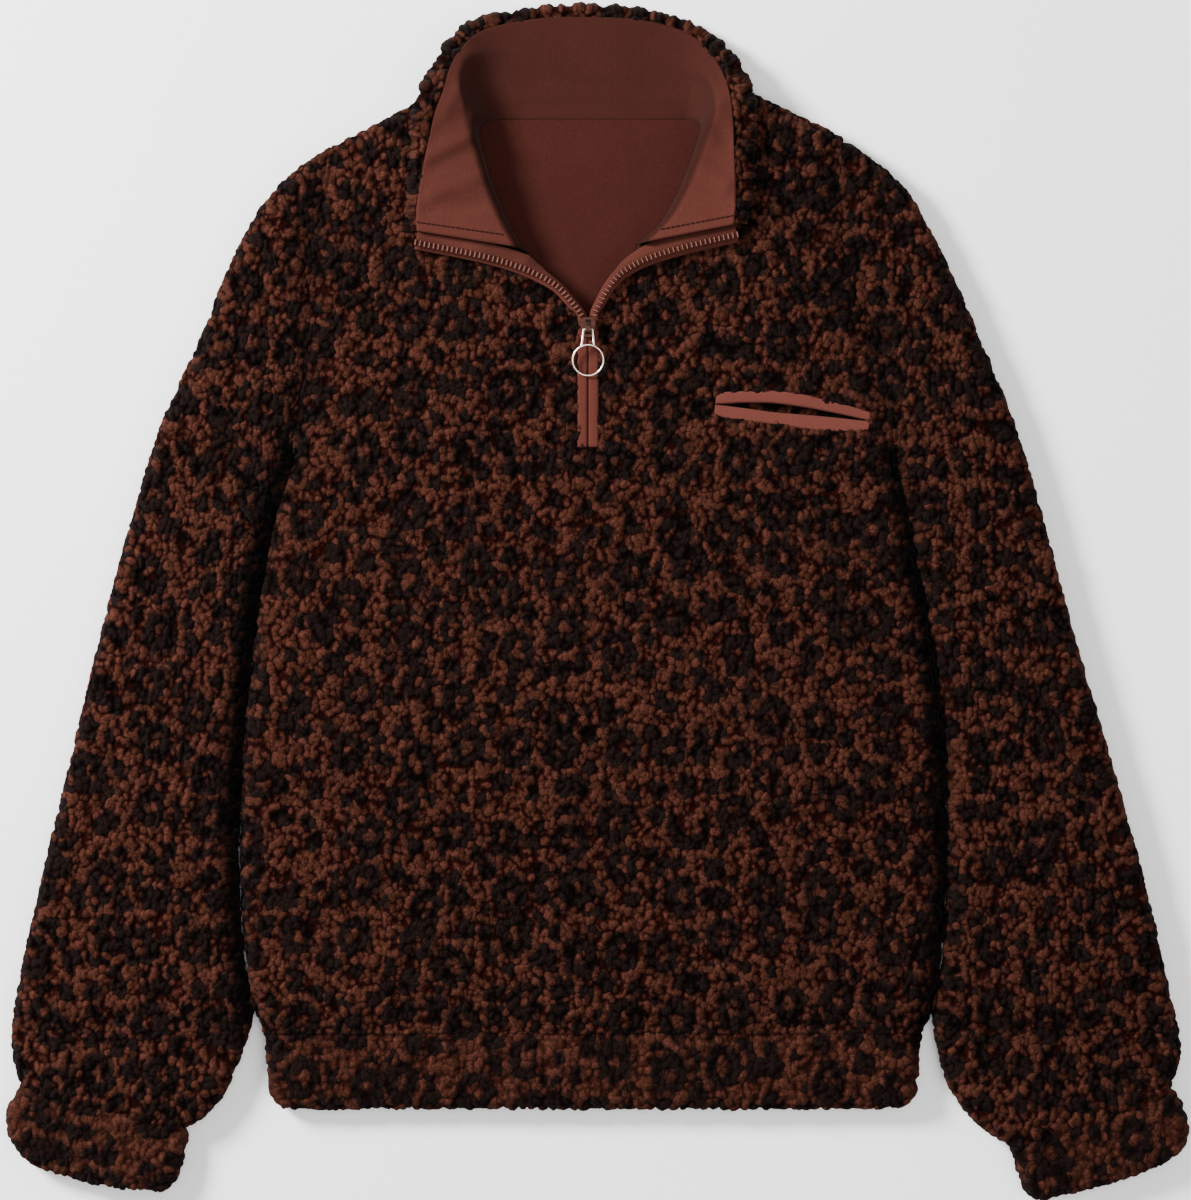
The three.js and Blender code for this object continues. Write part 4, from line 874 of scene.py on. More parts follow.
hem_rows = [(right, y, left, y, top, 0, rounding) for y, right, left, top, rounding in finer(HEM_ROWS, 18)]
tubes = {
    "sleeve_right": sleeve_loops(RIGHT), "sleeve_left": sleeve_loops(LEFT),
    "hem_band": band_loops(np.array(hem_rows), 56),
    "cuff_right": cuff_loops(RIGHT, CUFF_RIGHT), "cuff_left": cuff_loops(LEFT, CUFF_LEFT),
}
tube_meshes, tube_piles = {}, {}
for name, tube in tubes.items():
    tube = ground_of(*tube)
    ends = (SEWN_END, SEWN_END if "sleeve" in name else FREE_END)
    tube_meshes[name] = closed_cloth(name + " ground", *tube, ring=True)
    tube_piles[name] = pile_ground(name + " pile", *tube, ring=True, ends=ends)
print("tubes:", {name: len(mesh.polygons) for name, mesh in tube_meshes.items()})

# %% [markdown]
# ## Lips, tape and lining
#
# The zip is set between two lips of jersey, folded strips that meet over the closed part and go on as
# piping beside the open teeth. The pocket's lips are the same folded strips. A strip could be a Bezier
# curve with a profile, but its width changes along it, so a section is laid at each row of a table.

# %% Strips
# x, y, inner width, outer width, low, top
WELT_RIGHT = [
    (-9.15, 99, 3.45, 3.4, 14, 24.6), (-9.15, 138, 3.45, 3.4, 14, 24.6), (-9.15, 176, 3.45, 3.4, 14, 24.6),
    (-9.3, 183, 3.4, 3.2, 18, 24.8), (-11.6, 187.2, 3, 2.8, 23.8, 25.2), (-16.4, 193, 3.2, 3.6, 23.8, 25.6),
    (-25, 202.5, 3.6, 4, 23.8, 26.2), (-37, 209.8, 4.6, 4.2, 23.8, 26.9), (-52, 216, 8, 4.2, 23.8, 28),
    (-68, 220.8, 8, 4.2, 23.8, 28.6), (-84, 224.5, 7.6, 4.2, 23.8, 28.8), (-101, 227.9, 7.2, 4.2, 23.8, 28.8),
    (-117, 231, 6.8, 4.2, 23.8, 28.8),
]
WELT_LEFT = [
    (-1.85, 99, 3.4, 3.4, 14, 24.6), (-1.85, 138, 3.4, 3.4, 14, 24.6), (-1.85, 176, 3.4, 3.4, 14, 24.6),
    (-1.7, 183, 3.4, 3.2, 18, 24.8), (-0.7, 187.2, 3, 2.8, 23.8, 25.2), (2.4, 193, 3.2, 3.6, 23.8, 25.6),
    (7, 201.5, 3.4, 4, 23.8, 26.2), (14.5, 210.5, 4, 4.4, 23.8, 26.9), (26, 217.8, 5.6, 4.6, 23.8, 27.8),
    (40, 223.4, 7, 4.8, 23.8, 28.6), (55, 227.8, 6.8, 4.8, 23.8, 28.8), (72, 231.9, 6.6, 4.8, 23.8, 28.8),
    (91, 236.2, 6.4, 4.8, 23.8, 28.8),
]
OPEN_FROM = 4            # row where the zip opens
WELT_SPANS, TAPE_SPANS = 110, 90
TAPE_LIFT = 0.3
TAPE_THICK = 0.8
LIP_ROUND = 1.6
LIP_SUNK = 1.7           # the pile stands a little over the lips
POCKET_LIP_FOOT, POCKET_LIP_TOP, POCKET_LIP_ROUND = 14, 24.8, 1.5
LINING_TOP_EDGE = 312.4
TAPE_EDGE = ((3.4, 4.6, 7), (2.3, 5.6, 9.2))    # a lip's inner width, and the tape's edge beside it
TAPE_INNER = -2.4


def loft(name, sections):
    """A closed solid through closed sections, with flat ends."""
    rows, columns = sections.shape[:2]
    faces = grid_faces(rows, columns, True)
    faces += [tuple(range(columns)), tuple((rows - 1) * columns + j for j in range(columns))]
    return shade_smooth(outward_faces(mesh_of(name, sections.reshape(-1, 3), faces)))


def strip(name, rows, side, section):
    run = unit(np.gradient(rows[:, :2], axis=0))
    sideways = np.column_stack([run[:, 1], -run[:, 0]]) * side
    sections = []
    for row, way in zip(rows, sideways):
        flat = section(row)
        sections.append(np.column_stack([row[:2] + flat[:, :1] * way, flat[:, 1]]))
    return loft(name, np.array(sections))


def lip_section(near, far, low, top, rounding=LIP_ROUND, steps=4):
    """A folded lip: upright sides and a rounded top, from near to far."""
    way = np.sign(far - near)
    turn = np.linspace(0, math.pi / 2, steps + 1)
    first = np.column_stack([near + way * rounding * (1 - np.cos(turn)), top - rounding * (1 - np.sin(turn))])
    last = np.column_stack([far - way * rounding * (1 - np.cos(turn)), top - rounding * (1 - np.sin(turn))])
    return np.vstack([[(near, low)], first, last[::-1], [(far, low)]])


def welt_section(row):
    return lip_section(-row[3], row[2], row[4], row[5] - LIP_SUNK, min(LIP_ROUND, (row[5] - row[4]) * 0.6))


def tape_section(row):
    foot = row[5] + TAPE_LIFT
    edge = np.interp(row[2], *TAPE_EDGE)
    corners = (TAPE_INNER, 0), (edge, 0), (edge, TAPE_THICK), (TAPE_INNER, TAPE_THICK)
    return np.array([(x, foot + z) for x, z in corners])


welt_meshes, tape_meshes, open_rows = {}, {}, {}
for name, rows, sign in (("right", WELT_RIGHT, 1), ("left", WELT_LEFT, -1)):
    welt_meshes[name] = strip("zip welt " + name, smooth_line(rows, WELT_SPANS), sign, welt_section)
    open_rows[name] = smooth_line(rows[OPEN_FROM - 1:], TAPE_SPANS)[2:]
    tape_meshes[name] = strip("zip tape " + name, open_rows[name], sign, tape_section)
pocket_rows = smooth_line(POCKET_ROWS, 48)


def pocket_lip(name, near, far):
    sections = []
    for row in pocket_rows:
        flat = lip_section(row[near], row[far], POCKET_LIP_FOOT, POCKET_LIP_TOP - LIP_SUNK, POCKET_LIP_ROUND)
        sections.append([(*pocket_point(row[0], height), z) for height, z in flat])
    return loft(name, np.array(sections))


pocket_meshes = {"upper": pocket_lip("pocket lip upper", 2, 1), "lower": pocket_lip("pocket lip lower", 3, 4)}

LINING = [
    (-73.5, 312), (-79, 308.5), (-92, 298), (-88, 272), (-72, 238), (-47, 204), (-22, 176),
    (-6, 168), (12, 176), (36, 204), (60, 238), (76, 268), (83, 292), (76, 305.5), (70, 312),
]
lining_line = smooth_line(LINING, 40)
lining_line[:, 1] = np.minimum(lining_line[:, 1], LINING_TOP_EDGE)
on_back = FLEECE + SEAM_GAP
lining_mesh = block_mesh("back lining", [tuple(point) for point in lining_line], on_back, on_back + JERSEY)
print("faces of a zip lip:", len(welt_meshes["left"].polygons), "of a tape:", len(tape_meshes["left"].polygons))

# %% [markdown]
# ## Materials
#
# A material starts from what the real one is. Sherpa fleece is a polyester knit whose pile was brushed
# up and then tumbled hot until it curled into nubs: they are quite matt, with hardly any edge glow from
# loose fibres, so the roughness is 1 and the sheen is slight. The facing and lips are a fine jersey, the
# tape is a woven twill, and the metal parts are plated zinc. Colours are sRGB hex values, turned to linear
# by one function.

# %% Helpers for materials
NOISE_RANGE = {"From Min": 0.3, "From Max": 0.7}     # where most values of a Noise texture lie


def linear(colour):
    """The linear values of an sRGB hex colour."""
    values = [int(colour[i:i + 2], 16) / 255 for i in (1, 3, 5)]
    return [v / 12.92 if v <= 0.04045 else ((v + 0.055) / 1.055) ** 2.4 for v in values] + [1.0]


def add(tree, kind, inputs=None, **settings):
    """A node with its settings; each input is a value, or the socket or node whose first output feeds it."""
    node = tree.nodes.new(kind)
    for name, value in settings.items():
        setattr(node, name, value)
    for name, value in (inputs or {}).items():
        if isinstance(value, bpy.types.Node):
            value = value.outputs[0]
        if isinstance(value, bpy.types.NodeSocket):
            tree.links.new(value, node.inputs[name])
        else:
            node.inputs[name].default_value = value
    return node


def new_material(name, colour=None, **constants):
    """A material with its shader's own sockets set, as (material, tree, shader)."""
    material = bpy.data.materials.new(name)
    material.use_nodes = True
    tree = material.node_tree
    shader = tree.nodes["Principled BSDF"]
    for key, value in constants.items():
        shader.inputs[key.replace("_", " ")].default_value = value
    if colour:
        shader.inputs["Base Color"].default_value = linear(colour)
    MATERIALS[name] = material
    return material, tree, shader


# %% [markdown]
# ### The mottled pile
#
# The print is the common animal mottling of dark rings and spots on a rust ground. It was printed on
# the yarn, so a nub is mostly one colour and the rings are ragged. A plain texture would cut through
# the nubs, so the pattern is read close to each nub's middle: Voronoi cells 34 mm wide, most with a
# ring, and cells of 16 mm with a spot in between. The nubs are Voronoi cells as well, and one function
# makes them for the shape and for the shading, so that colour and form agree.
# Their colour also carries painted shade deep in the crevices and painted light on the crowns.

# %% Sherpa fleece
RUST = "#361c15"
RUST_DEEP = "#26120b"
BLACK_YARN = "#0f0807"
RING_CELL, RING_RADIUS, RING_HEART, SPOT_CELL = 0.034, 0.0118, 0.0036, 0.0158    # metres
WANDER = 0.022           # how wide the waves are that bend the print
RAGGED = 0.005           # and the ones that fray its edges
LENGTHWISE = 0.85        # nubs and print are a little longer along the garment than across
CENTRED = (0.5, 0.5, 0.5)
FIBRE = 0.0015
# Painted shade deep in the crevices between the nubs, reddened like light bounced between rust nubs, and
# painted light on their crowns
CREVICE_PAINTED_SHADE, CROWN_PAINTED_LIGHT = (0.24, 0.09, 0.075, 1.0), (1.25, 1.25, 1.25, 1.0)    # shares of the yarn's colour


def mottling(tree, root):
    """How dark the print is at a place: 1 on a ring or spot, 0 on the ground."""
    wander = add(tree, "ShaderNodeTexNoise", {"Vector": root, "Scale": 1 / WANDER, "Detail": 2.0})
    wander = wander.outputs["Color"]
    centred = add(tree, "ShaderNodeVectorMath", {0: wander, 1: CENTRED}, operation="SUBTRACT")
    moved = add(tree, "ShaderNodeVectorMath", {0: centred, 1: (0.009, 0.009, 0.0), 2: root},
                operation="MULTIPLY_ADD")
    flat = add(tree, "ShaderNodeVectorMath", {0: moved, 1: (1.0, LENGTHWISE, 0.0)}, operation="MULTIPLY")
    rings = add(tree, "ShaderNodeTexVoronoi", {"Vector": flat, "Scale": 1 / RING_CELL, "Randomness": 0.75},
                voronoi_dimensions="2D")
    kind = add(tree, "ShaderNodeSeparateColor", {"Color": rings.outputs["Color"]})
    radius = add(tree, "ShaderNodeMapRange", {"Value": kind.outputs["Red"], "From Min": 0.3, "From Max": 0.32,
                                              "To Min": -0.2, "To Max": RING_RADIUS / RING_CELL})
    outside = add(tree, "ShaderNodeMath", {0: rings.outputs["Distance"], 1: radius}, operation="SUBTRACT")
    away = add(tree, "ShaderNodeMath", {0: outside, 1: -1.0}, operation="MULTIPLY")
    heart = RING_HEART / RING_CELL
    heart = add(tree, "ShaderNodeMath", {0: rings.outputs["Distance"], 1: heart}, operation="SUBTRACT")
    ring = add(tree, "ShaderNodeMath", {0: away, 1: heart}, operation="MINIMUM")
    spots = add(tree, "ShaderNodeTexVoronoi", {"Vector": flat, "Scale": 1 / SPOT_CELL, "Randomness": 0.8},
                voronoi_dimensions="2D")
    size = add(tree, "ShaderNodeSeparateColor", {"Color": spots.outputs["Color"]})
    size = add(tree, "ShaderNodeMapRange", {"Value": size.outputs["Green"], "To Min": 0.24, "To Max": 0.46})
    spot = add(tree, "ShaderNodeMath", {0: size, 1: spots.outputs["Distance"]}, operation="SUBTRACT")
    clear = add(tree, "ShaderNodeMath", {0: outside, 1: 0.1}, operation="SUBTRACT")
    spot = add(tree, "ShaderNodeMath", {0: spot, 1: clear}, operation="MINIMUM")
    dark = add(tree, "ShaderNodeMath", {0: ring, 1: spot}, operation="MAXIMUM")
    ragged = add(tree, "ShaderNodeTexNoise", {"Vector": root, "Scale": 1 / RAGGED, "Detail": 1.0})
    ragged = add(tree, "ShaderNodeMapRange", {"Value": ragged, **NOISE_RANGE, "To Min": -0.04, "To Max": 0.04})
    dark = add(tree, "ShaderNodeMath", {0: dark, 1: ragged}, operation="ADD")
    return add(tree, "ShaderNodeMapRange", {"Value": dark, "From Min": -0.03, "From Max": 0.03})


def nubs(tree, place, size):
    """The pile's nubs at a place: their height from 0 to 1, and their cells."""
    per_nub = add(tree, "ShaderNodeMath", {0: 1.0, 1: size}, operation="DIVIDE")
    per_drift = add(tree, "ShaderNodeMath", {0: per_nub, 1: 0.5}, operation="MULTIPLY")
    drift = add(tree, "ShaderNodeTexNoise", {"Vector": place, "Scale": per_drift, "Detail": 1.0})
    drift = add(tree, "ShaderNodeVectorMath", {0: drift.outputs["Color"], 1: CENTRED}, operation="SUBTRACT")
    wide = add(tree, "ShaderNodeMath", {0: size, 1: 1.5}, operation="MULTIPLY")
    drift = add(tree, "ShaderNodeVectorMath", {0: drift, "Scale": wide}, operation="SCALE")
    place = add(tree, "ShaderNodeVectorMath", {0: place, 1: drift})
    place = add(tree, "ShaderNodeVectorMath", {0: place, 1: (1.0, LENGTHWISE, 1.0)}, operation="MULTIPLY")
    cells = add(tree, "ShaderNodeTexVoronoi", {"Vector": place, "Scale": per_nub, "Randomness": 0.9})
    per_clump = add(tree, "ShaderNodeMath", {0: per_nub, 1: 0.47}, operation="MULTIPLY")
    clumps = add(tree, "ShaderNodeTexVoronoi", {"Vector": place, "Scale": per_clump})
    total = None
    for texture, share in ((cells, 0.66), (clumps, 0.34)):
        squared = add(tree, "ShaderNodeMath", {0: texture.outputs["Distance"], 1: 2.0}, operation="POWER")
        dome = add(tree, "ShaderNodeMath", {0: squared, 1: -1.5 * share, 2: share}, operation="MULTIPLY_ADD")
        total = dome if total is None else add(tree, "ShaderNodeMath", {0: total, 1: dome})
    return total, cells


fleece, tree, shader = new_material("sherpa fleece, curled pile", Roughness=1.0, Specular_IOR_Level=0.02,
                                    Sheen_Weight=0.012, Sheen_Roughness=0.5)
root = add(tree, "ShaderNodeAttribute", attribute_name="root").outputs["Vector"]
nub_size = add(tree, "ShaderNodeAttribute", attribute_name="nub").outputs["Fac"]
height, cells = nubs(tree, root, nub_size)
upright = (1.0, 1 / LENGTHWISE, 1.0)
centre = add(tree, "ShaderNodeVectorMath", {0: cells.outputs["Position"], 1: upright}, operation="MULTIPLY")
printed = add(tree, "ShaderNodeMix", {"Factor": 0.3, 4: centre, 5: root}, data_type="VECTOR")
dark = mottling(tree, printed.outputs[1])
tone = add(tree, "ShaderNodeSeparateColor", {"Color": cells.outputs["Color"]}).outputs["Red"]
rust = add(tree, "ShaderNodeMix", {"Factor": tone, 6: linear(RUST_DEEP), 7: linear(RUST)}, data_type="RGBA")
fibre = add(tree, "ShaderNodeTexNoise", {
    "Vector": root, "Scale": 1 / FIBRE, "Detail": 3.0, "Roughness": 0.65,
})
black = linear(BLACK_YARN)
yarn = add(tree, "ShaderNodeMix", {"Factor": dark, 6: rust.outputs[2], 7: black}, data_type="RGBA").outputs[2]
shade = add(tree, "ShaderNodeMapRange", {"Value": fibre, **NOISE_RANGE, "To Min": 0.45, "To Max": 1.5})
# Painted shade and light by the nubs' height: dark in the crevices, light on the crowns; crisp sets how
# strongly
depth = add(tree, "ShaderNodeMapRange", {"Value": height, "From Min": 0.32, "From Max": 0.74},
            interpolation_type="SMOOTHSTEP")
crisp = add(tree, "ShaderNodeAttribute", attribute_name="crisp").outputs["Fac"]
depth = add(tree, "ShaderNodeMapRange", {"Value": crisp, "To Min": 1.0, "To Max": depth})
# Painted shade in the valleys, from the numbers on the pile's points
valley_painted_shade = add(tree, "ShaderNodeAttribute", attribute_name="valley_painted_shade").outputs["Fac"]
painted_crevice_and_crown = add(tree, "ShaderNodeMix", {"Factor": depth, 6: CREVICE_PAINTED_SHADE, 7: CROWN_PAINTED_LIGHT}, data_type="RGBA").outputs[2]
# The yarn's colour times the fibre grain, the painted crevice shade and crown light, and the painted valley
# shade
mixed = yarn
for grain_and_painted_light in (shade, painted_crevice_and_crown, valley_painted_shade):
    mixed = add(tree, "ShaderNodeVectorMath", {0: mixed, 1: grain_and_painted_light}, operation="MULTIPLY")
bump = add(tree, "ShaderNodeBump", {"Height": height, "Strength": 1.0, "Distance": 0.002})
bump = add(tree, "ShaderNodeBump", {"Height": fibre, "Normal": bump, "Strength": 1.0, "Distance": 0.001})
tree.links.new(mixed.outputs[0], shader.inputs["Base Color"])
tree.links.new(bump.outputs[0], shader.inputs["Normal"])

# The knitted ground under the pile is only seen as the dark between the nubs: a real cloth, whose near-black
# colour is painted shade there.
ground = new_material("sherpa fleece, knitted ground", "#1c0d0a", Roughness=1.0, Specular_IOR_Level=0.05)[0]

# %% [markdown]
# ### Jersey, tape and metal
#
# Jersey has fine upright ribs of stitches, about 1 mm apart once drawn coarse enough to show, and a
# brushed surface. They are a wave on the object's own coordinates. The facing's colour carries painted
# light and shade: a number on its points makes it light on the turned fronts and dark on their inner
# walls and inside the neck. The lining is a darker copy of the facing's jersey, and the zip's lips of
# the pocket's, as painted shade. Twill tape has slanted ribs. Plated zinc is a metal with a soft
# polish, so its roughness is broken by a little noise where hands touch it.

# %% Jersey, tape and metal
WAVES_PER_SCALE = 2 * math.pi / 20     # a Wave texture at scale 1 has its waves this far apart
FUZZ, CLOUD, WEAR = 0.0011, 0.03, 0.0025


def jersey_material(name, colour, shade, ribs, along_axis, nap_from=None):
    """Jersey or tape; with a shade share, the share of its colour that is left where the facing's painted light
    is lowest.
    """
    material, tree, shader = new_material(name, Roughness=1.0, Specular_IOR_Level=0.04, Sheen_Weight=0.02,
                                          Sheen_Roughness=0.45)
    place = add(tree, "ShaderNodeTexCoord").outputs["Object"]
    rib = add(tree, "ShaderNodeTexWave", {
        "Vector": place, "Scale": WAVES_PER_SCALE / ribs, "Distortion": 1.5, "Detail": 1.0, "Detail Scale": 0.6,
    }, bands_direction=along_axis).outputs["Fac"]
    fuzz = add(tree, "ShaderNodeTexNoise", {
        "Vector": place, "Scale": 1 / FUZZ, "Detail": 4.0, "Roughness": 0.7,
    })
    cloud = add(tree, "ShaderNodeTexNoise", {"Vector": place, "Scale": 1 / CLOUD, "Detail": 2.0})
    tint = add(tree, "ShaderNodeMix", {"Factor": cloud, 6: linear(shade), 7: linear(colour)}, data_type="RGBA")
    grain = add(tree, "ShaderNodeMapRange", {"Value": fuzz, **NOISE_RANGE, "To Min": 0.8, "To Max": 1.18})
    tinted = add(tree, "ShaderNodeVectorMath", {0: tint.outputs[2], 1: grain}, operation="MULTIPLY")
    if nap_from:
        # Painted shade: the colour is darkened where the facing's painted light is low
        nap = add(tree, "ShaderNodeAttribute", attribute_name="nap").outputs["Fac"]
        painted_light_share = add(tree, "ShaderNodeMapRange", {"Value": nap, "To Min": nap_from, "To Max": 1.0})
        tinted = add(tree, "ShaderNodeVectorMath", {0: tinted, 1: painted_light_share}, operation="MULTIPLY")
    height = add(tree, "ShaderNodeMath", {0: rib, 1: 0.45, 2: fuzz}, operation="MULTIPLY_ADD")
    bump = add(tree, "ShaderNodeBump", {"Height": height, "Strength": 0.35, "Distance": 0.0003})
    tree.links.new(tinted.outputs[0], shader.inputs["Base Color"])
    tree.links.new(bump.outputs[0], shader.inputs["Normal"])
    return material


# The facing carries painted light and shade from the numbers on its points
facing_jersey = jersey_material("brushed jersey, facing", "#4a2720", "#41201b", 0.0011, "X", nap_from=0.31)
# The lining: the facing's jersey darkened, painted shade inside the neck
lining_jersey = jersey_material("brushed jersey, lining", "#331713", "#2d1310", 0.0011, "X")
# The zip's lips: the pocket lips' jersey darkened, painted shade
lip_jersey = jersey_material("fine jersey, zip lips", "#4b261f", "#40201a", 0.0009, "Y")
pocket_jersey = jersey_material("fine jersey, pocket lips", "#582f28", "#4d2822", 0.0009, "Y")
tape_twill = jersey_material("woven twill tape", "#4c2820", "#2c1411", 0.0018, "DIAGONAL")


def plated(name, colour, roughness):
    material, tree, shader = new_material(name, colour, Metallic=1.0, Roughness=roughness)
    place = add(tree, "ShaderNodeTexCoord").outputs["Object"]
    wear = add(tree, "ShaderNodeTexNoise", {"Vector": place, "Scale": 1 / WEAR, "Detail": 3.0})
    polish = {"Value": wear, "To Min": roughness - 0.08, "To Max": roughness + 0.12}
    polish = add(tree, "ShaderNodeMapRange", polish)
    tree.links.new(polish.outputs[0], shader.inputs["Roughness"])
    return material


dark_metal = plated("zinc, dark copper plating", "#38241f", 0.4)
tooth_metal = plated("zinc, copper plating", "#5c3c35", 0.36)
pale_metal = plated("zinc, pale rose plating", "#e9cdc2", 0.28)
stitch_thread = new_material("polyester thread", "#1c0b08", Roughness=0.9, Specular_IOR_Level=0.05)[0]
print("materials:", ", ".join(MATERIALS))

# %% [markdown]
# ## Growing the pile
#
# Sherpa pile is curled into nubs 3 to 5 mm across with dark crevices between them. Hair would be lost
# on export, and separate lumps scattered over the cloth look like pellets. So the open face of each
# cloth has a point every 2 mm, and Geometry Nodes push the points out along the normal by the height of
# the nubs. Each point keeps its root, which nubs and print are read from. Where sleeve and body lie side
# by side the pile swells until it touches, and underneath it is flattened on the floor.

# %% The sherpa pile as a node tree
def new_tree(name, inputs, result):
    """A tree of Geometry Nodes with named inputs, as (tree, the sockets of the inputs)."""
    tree = bpy.data.node_groups.new(name, "GeometryNodeTree")
    for key, kind, value in inputs:
        socket = tree.interface.new_socket(key, in_out="INPUT", socket_type="NodeSocket" + kind)
        if value is not None:
            socket.default_value = value
    tree.interface.new_socket(result, in_out="OUTPUT", socket_type="NodeSocketGeometry")
    return tree, add(tree, "NodeGroupInput").outputs


def hand_out(tree, geometry, material):
    """The end of a tree: what it made becomes real faces with their material."""
    real = add(tree, "GeometryNodeRealizeInstances", {"Geometry": geometry})
    finished = add(tree, "GeometryNodeSetMaterial", {"Geometry": real, "Material": material})
    add(tree, "NodeGroupOutput", {0: finished})


pile_tree, given = new_tree("sherpa pile", [
    ("Cloth", "Geometry", None), ("Nub", "Float", 0.0046), ("Height", "Float", 0.0035),
    ("Foot", "Float", 0.0003), ("Swell", "Float", 0.0012), ("Crisp", "Float", 1.0), ("Press", "Float", 0.0034),
    ("Floor", "Vector", (-9, -9, 0.0002)), ("Material", "Material", None),
], "Pile")
place = add(pile_tree, "GeometryNodeInputPosition")
stored = given["Cloth"]
for name, value, kind in (
    ("root", place, "FLOAT_VECTOR"), ("nub", given["Nub"], "FLOAT"), ("crisp", given["Crisp"], "FLOAT"),
):
    stored = add(pile_tree, "GeometryNodeStoreNamedAttribute", {
        "Geometry": stored, "Name": name, "Value": value,
    }, data_type=kind, domain="POINT")
height, _ = nubs(pile_tree, place, given["Nub"])
swell = add(pile_tree, "ShaderNodeTexNoise", {"Vector": place, "Scale": 1 / 0.018, "Detail": 1.0})
sides = add(pile_tree, "GeometryNodeInputMeshEdgeNeighbors")
rim = add(pile_tree, "FunctionNodeCompare", {2: sides, 3: 1}, data_type="INT", operation="EQUAL")
touching = add(pile_tree, "GeometryNodeInputNamedAttribute", {"Name": "touching"}, data_type="FLOAT")
rise = given["Foot"]
for share, most in ((height, given["Height"]), (swell, given["Swell"]), (touching, given["Press"])):
    rise = add(pile_tree, "ShaderNodeMath", {0: share, 1: most, 2: rise}, operation="MULTIPLY_ADD")
low = add(pile_tree, "ShaderNodeMath", {0: rise, 1: 0.3}, operation="MULTIPLY")
sunk = add(pile_tree, "GeometryNodeSwitch", {"Switch": rim, "False": rise, "True": low}, input_type="FLOAT")
outward = add(pile_tree, "GeometryNodeInputNormal")
offset = add(pile_tree, "ShaderNodeVectorMath", {0: outward, "Scale": sunk}, operation="SCALE")
raised = add(pile_tree, "GeometryNodeSetPosition", {"Geometry": stored, "Offset": offset})
above = add(pile_tree, "ShaderNodeVectorMath", {0: place, 1: given["Floor"]}, operation="MAXIMUM")
rested = add(pile_tree, "GeometryNodeSetPosition", {"Geometry": raised, "Position": above})
rounded = add(pile_tree, "GeometryNodeSetShadeSmooth", {"Geometry": rested})
hand_out(pile_tree, rounded, given["Material"])


def grown(name, mesh, tree, **inputs):
    """The mesh that a node tree makes of another, as a plain mesh on a new object."""
    obj = new_object(name, mesh)
    modifier = obj.modifiers.new(tree.name, "NODES")
    modifier.node_group = tree
    sockets = {item.name: item.identifier for item in tree.interface.items_tree if item.item_type == "SOCKET"}
    for key, value in inputs.items():
        modifier[sockets[key]] = value
    plain = bpy.data.meshes.new_from_object(obj.evaluated_get(bpy.context.evaluated_depsgraph_get()))
    obj.modifiers.clear()
    obj.data = plain
    plain.name = name
    return obj


def grow_pile(name, mesh, nub=3.8, height=2.9, foot=0.5, crisp=1.0):
    lengths = {"Nub": nub * MM, "Height": height * MM, "Foot": foot * MM}
    pile = grown(name, mesh, pile_tree, **lengths, Crisp=crisp, Material=fleece)
    print(name, len(pile.data.polygons), "faces")
    return pile


# crisp: how strongly a band's pile shows the painted crevice shade and crown light
BAND_PILE = {"hem": {"height": 3.0, "crisp": 0.75}, "cuff": {"height": 3.0, "crisp": 0.6}}
piles = {
    "front": grow_pile("front pile", front_pile), "back": grow_pile("back pile", back_pile),
    "collar": grow_pile("collar pile", collar_pile, nub=4.1, height=4.4, foot=0.8),
}
for name, mesh in tube_piles.items():
    piles[name] = grow_pile(name + " pile", mesh, **BAND_PILE.get(name.split("_")[0], {}))

# %% [markdown]
# ## Cloth pieces
#
# The grounds, lips, tapes and lining become objects with their materials. Nothing is left to move:
# each has its place in its own mesh.

# %% Objects of the cloth
def piece(name, mesh, material):
    obj = new_object(name, mesh)
    mesh.materials.clear()
    mesh.materials.append(material)
    return obj


cloths = {
    "front": piece("front ground", front_mesh, ground), "back": piece("back ground", back_mesh, ground),
    "collar": piece("collar ground", collar_mesh, ground),
    "collar_facing": piece("facing cloth", facing_mesh, facing_jersey),
    "back_lining": piece("lining cloth", lining_mesh, lining_jersey),
}
for name, mesh in tube_meshes.items():
    cloths[name] = piece(name + " ground", mesh, ground)
for name in ("right", "left"):
    cloths["zip_welt_" + name] = piece("zip lip " + name, welt_meshes[name], lip_jersey)
    cloths["zip_tape_" + name] = piece("twill tape " + name, tape_meshes[name], tape_twill)
for name in ("upper", "lower"):
    cloths["pocket_welt_" + name] = piece("pocket lip " + name, pocket_meshes[name], pocket_jersey)


def merged_copy(node, name):
    """A copy of a loaded solid with its corners joined."""
    mesh = frame["nodes"][node].data.copy()
    shape = bmesh.new()
    shape.from_mesh(mesh)
    bmesh.ops.remove_doubles(shape, verts=shape.verts, dist=1e-6)
    shape.to_mesh(mesh)
    shape.free()
    mesh.name = name
    return mesh


BAG_LEVEL = 12.4
cloths["pocket_bag"] = piece("bag ground", merged_copy("pocket_bag", "bag ground"), ground)
bag_face = np.array([[(*pocket_point(at, height), BAG_LEVEL) for at in (0.02, 0.98)] for height in (8, -8)])
bag_mesh = pile_ground("bag pile", bag_face, bag_face - [0, 0, 1])
piles["pocket_bag"] = grow_pile("bag pile", bag_mesh, height=2.0)
print("cloth pieces:", len(cloths), "piles:", len(piles))

# %% [markdown]
# ## Zip teeth, slider and pull
#
# The teeth sit every 3 mm along the tape's edge, so a node tree lays one small block at each step of
# a line, and the same tree lays the topstitching afterwards. The slider and the pull are the loaded
# solids, joined. The slider gets a soft edge with a Bevel, because a cast part has no sharp edges. The
# pull is round already, and it swings on the slider's bridge, so it rides on its own body.

# %% Teeth
TOOTH_PITCH = 3.0
TOOTH = (4.2, 1.35, 1.2)     # across the tape, along it, height
CAST_EDGE = 0.35

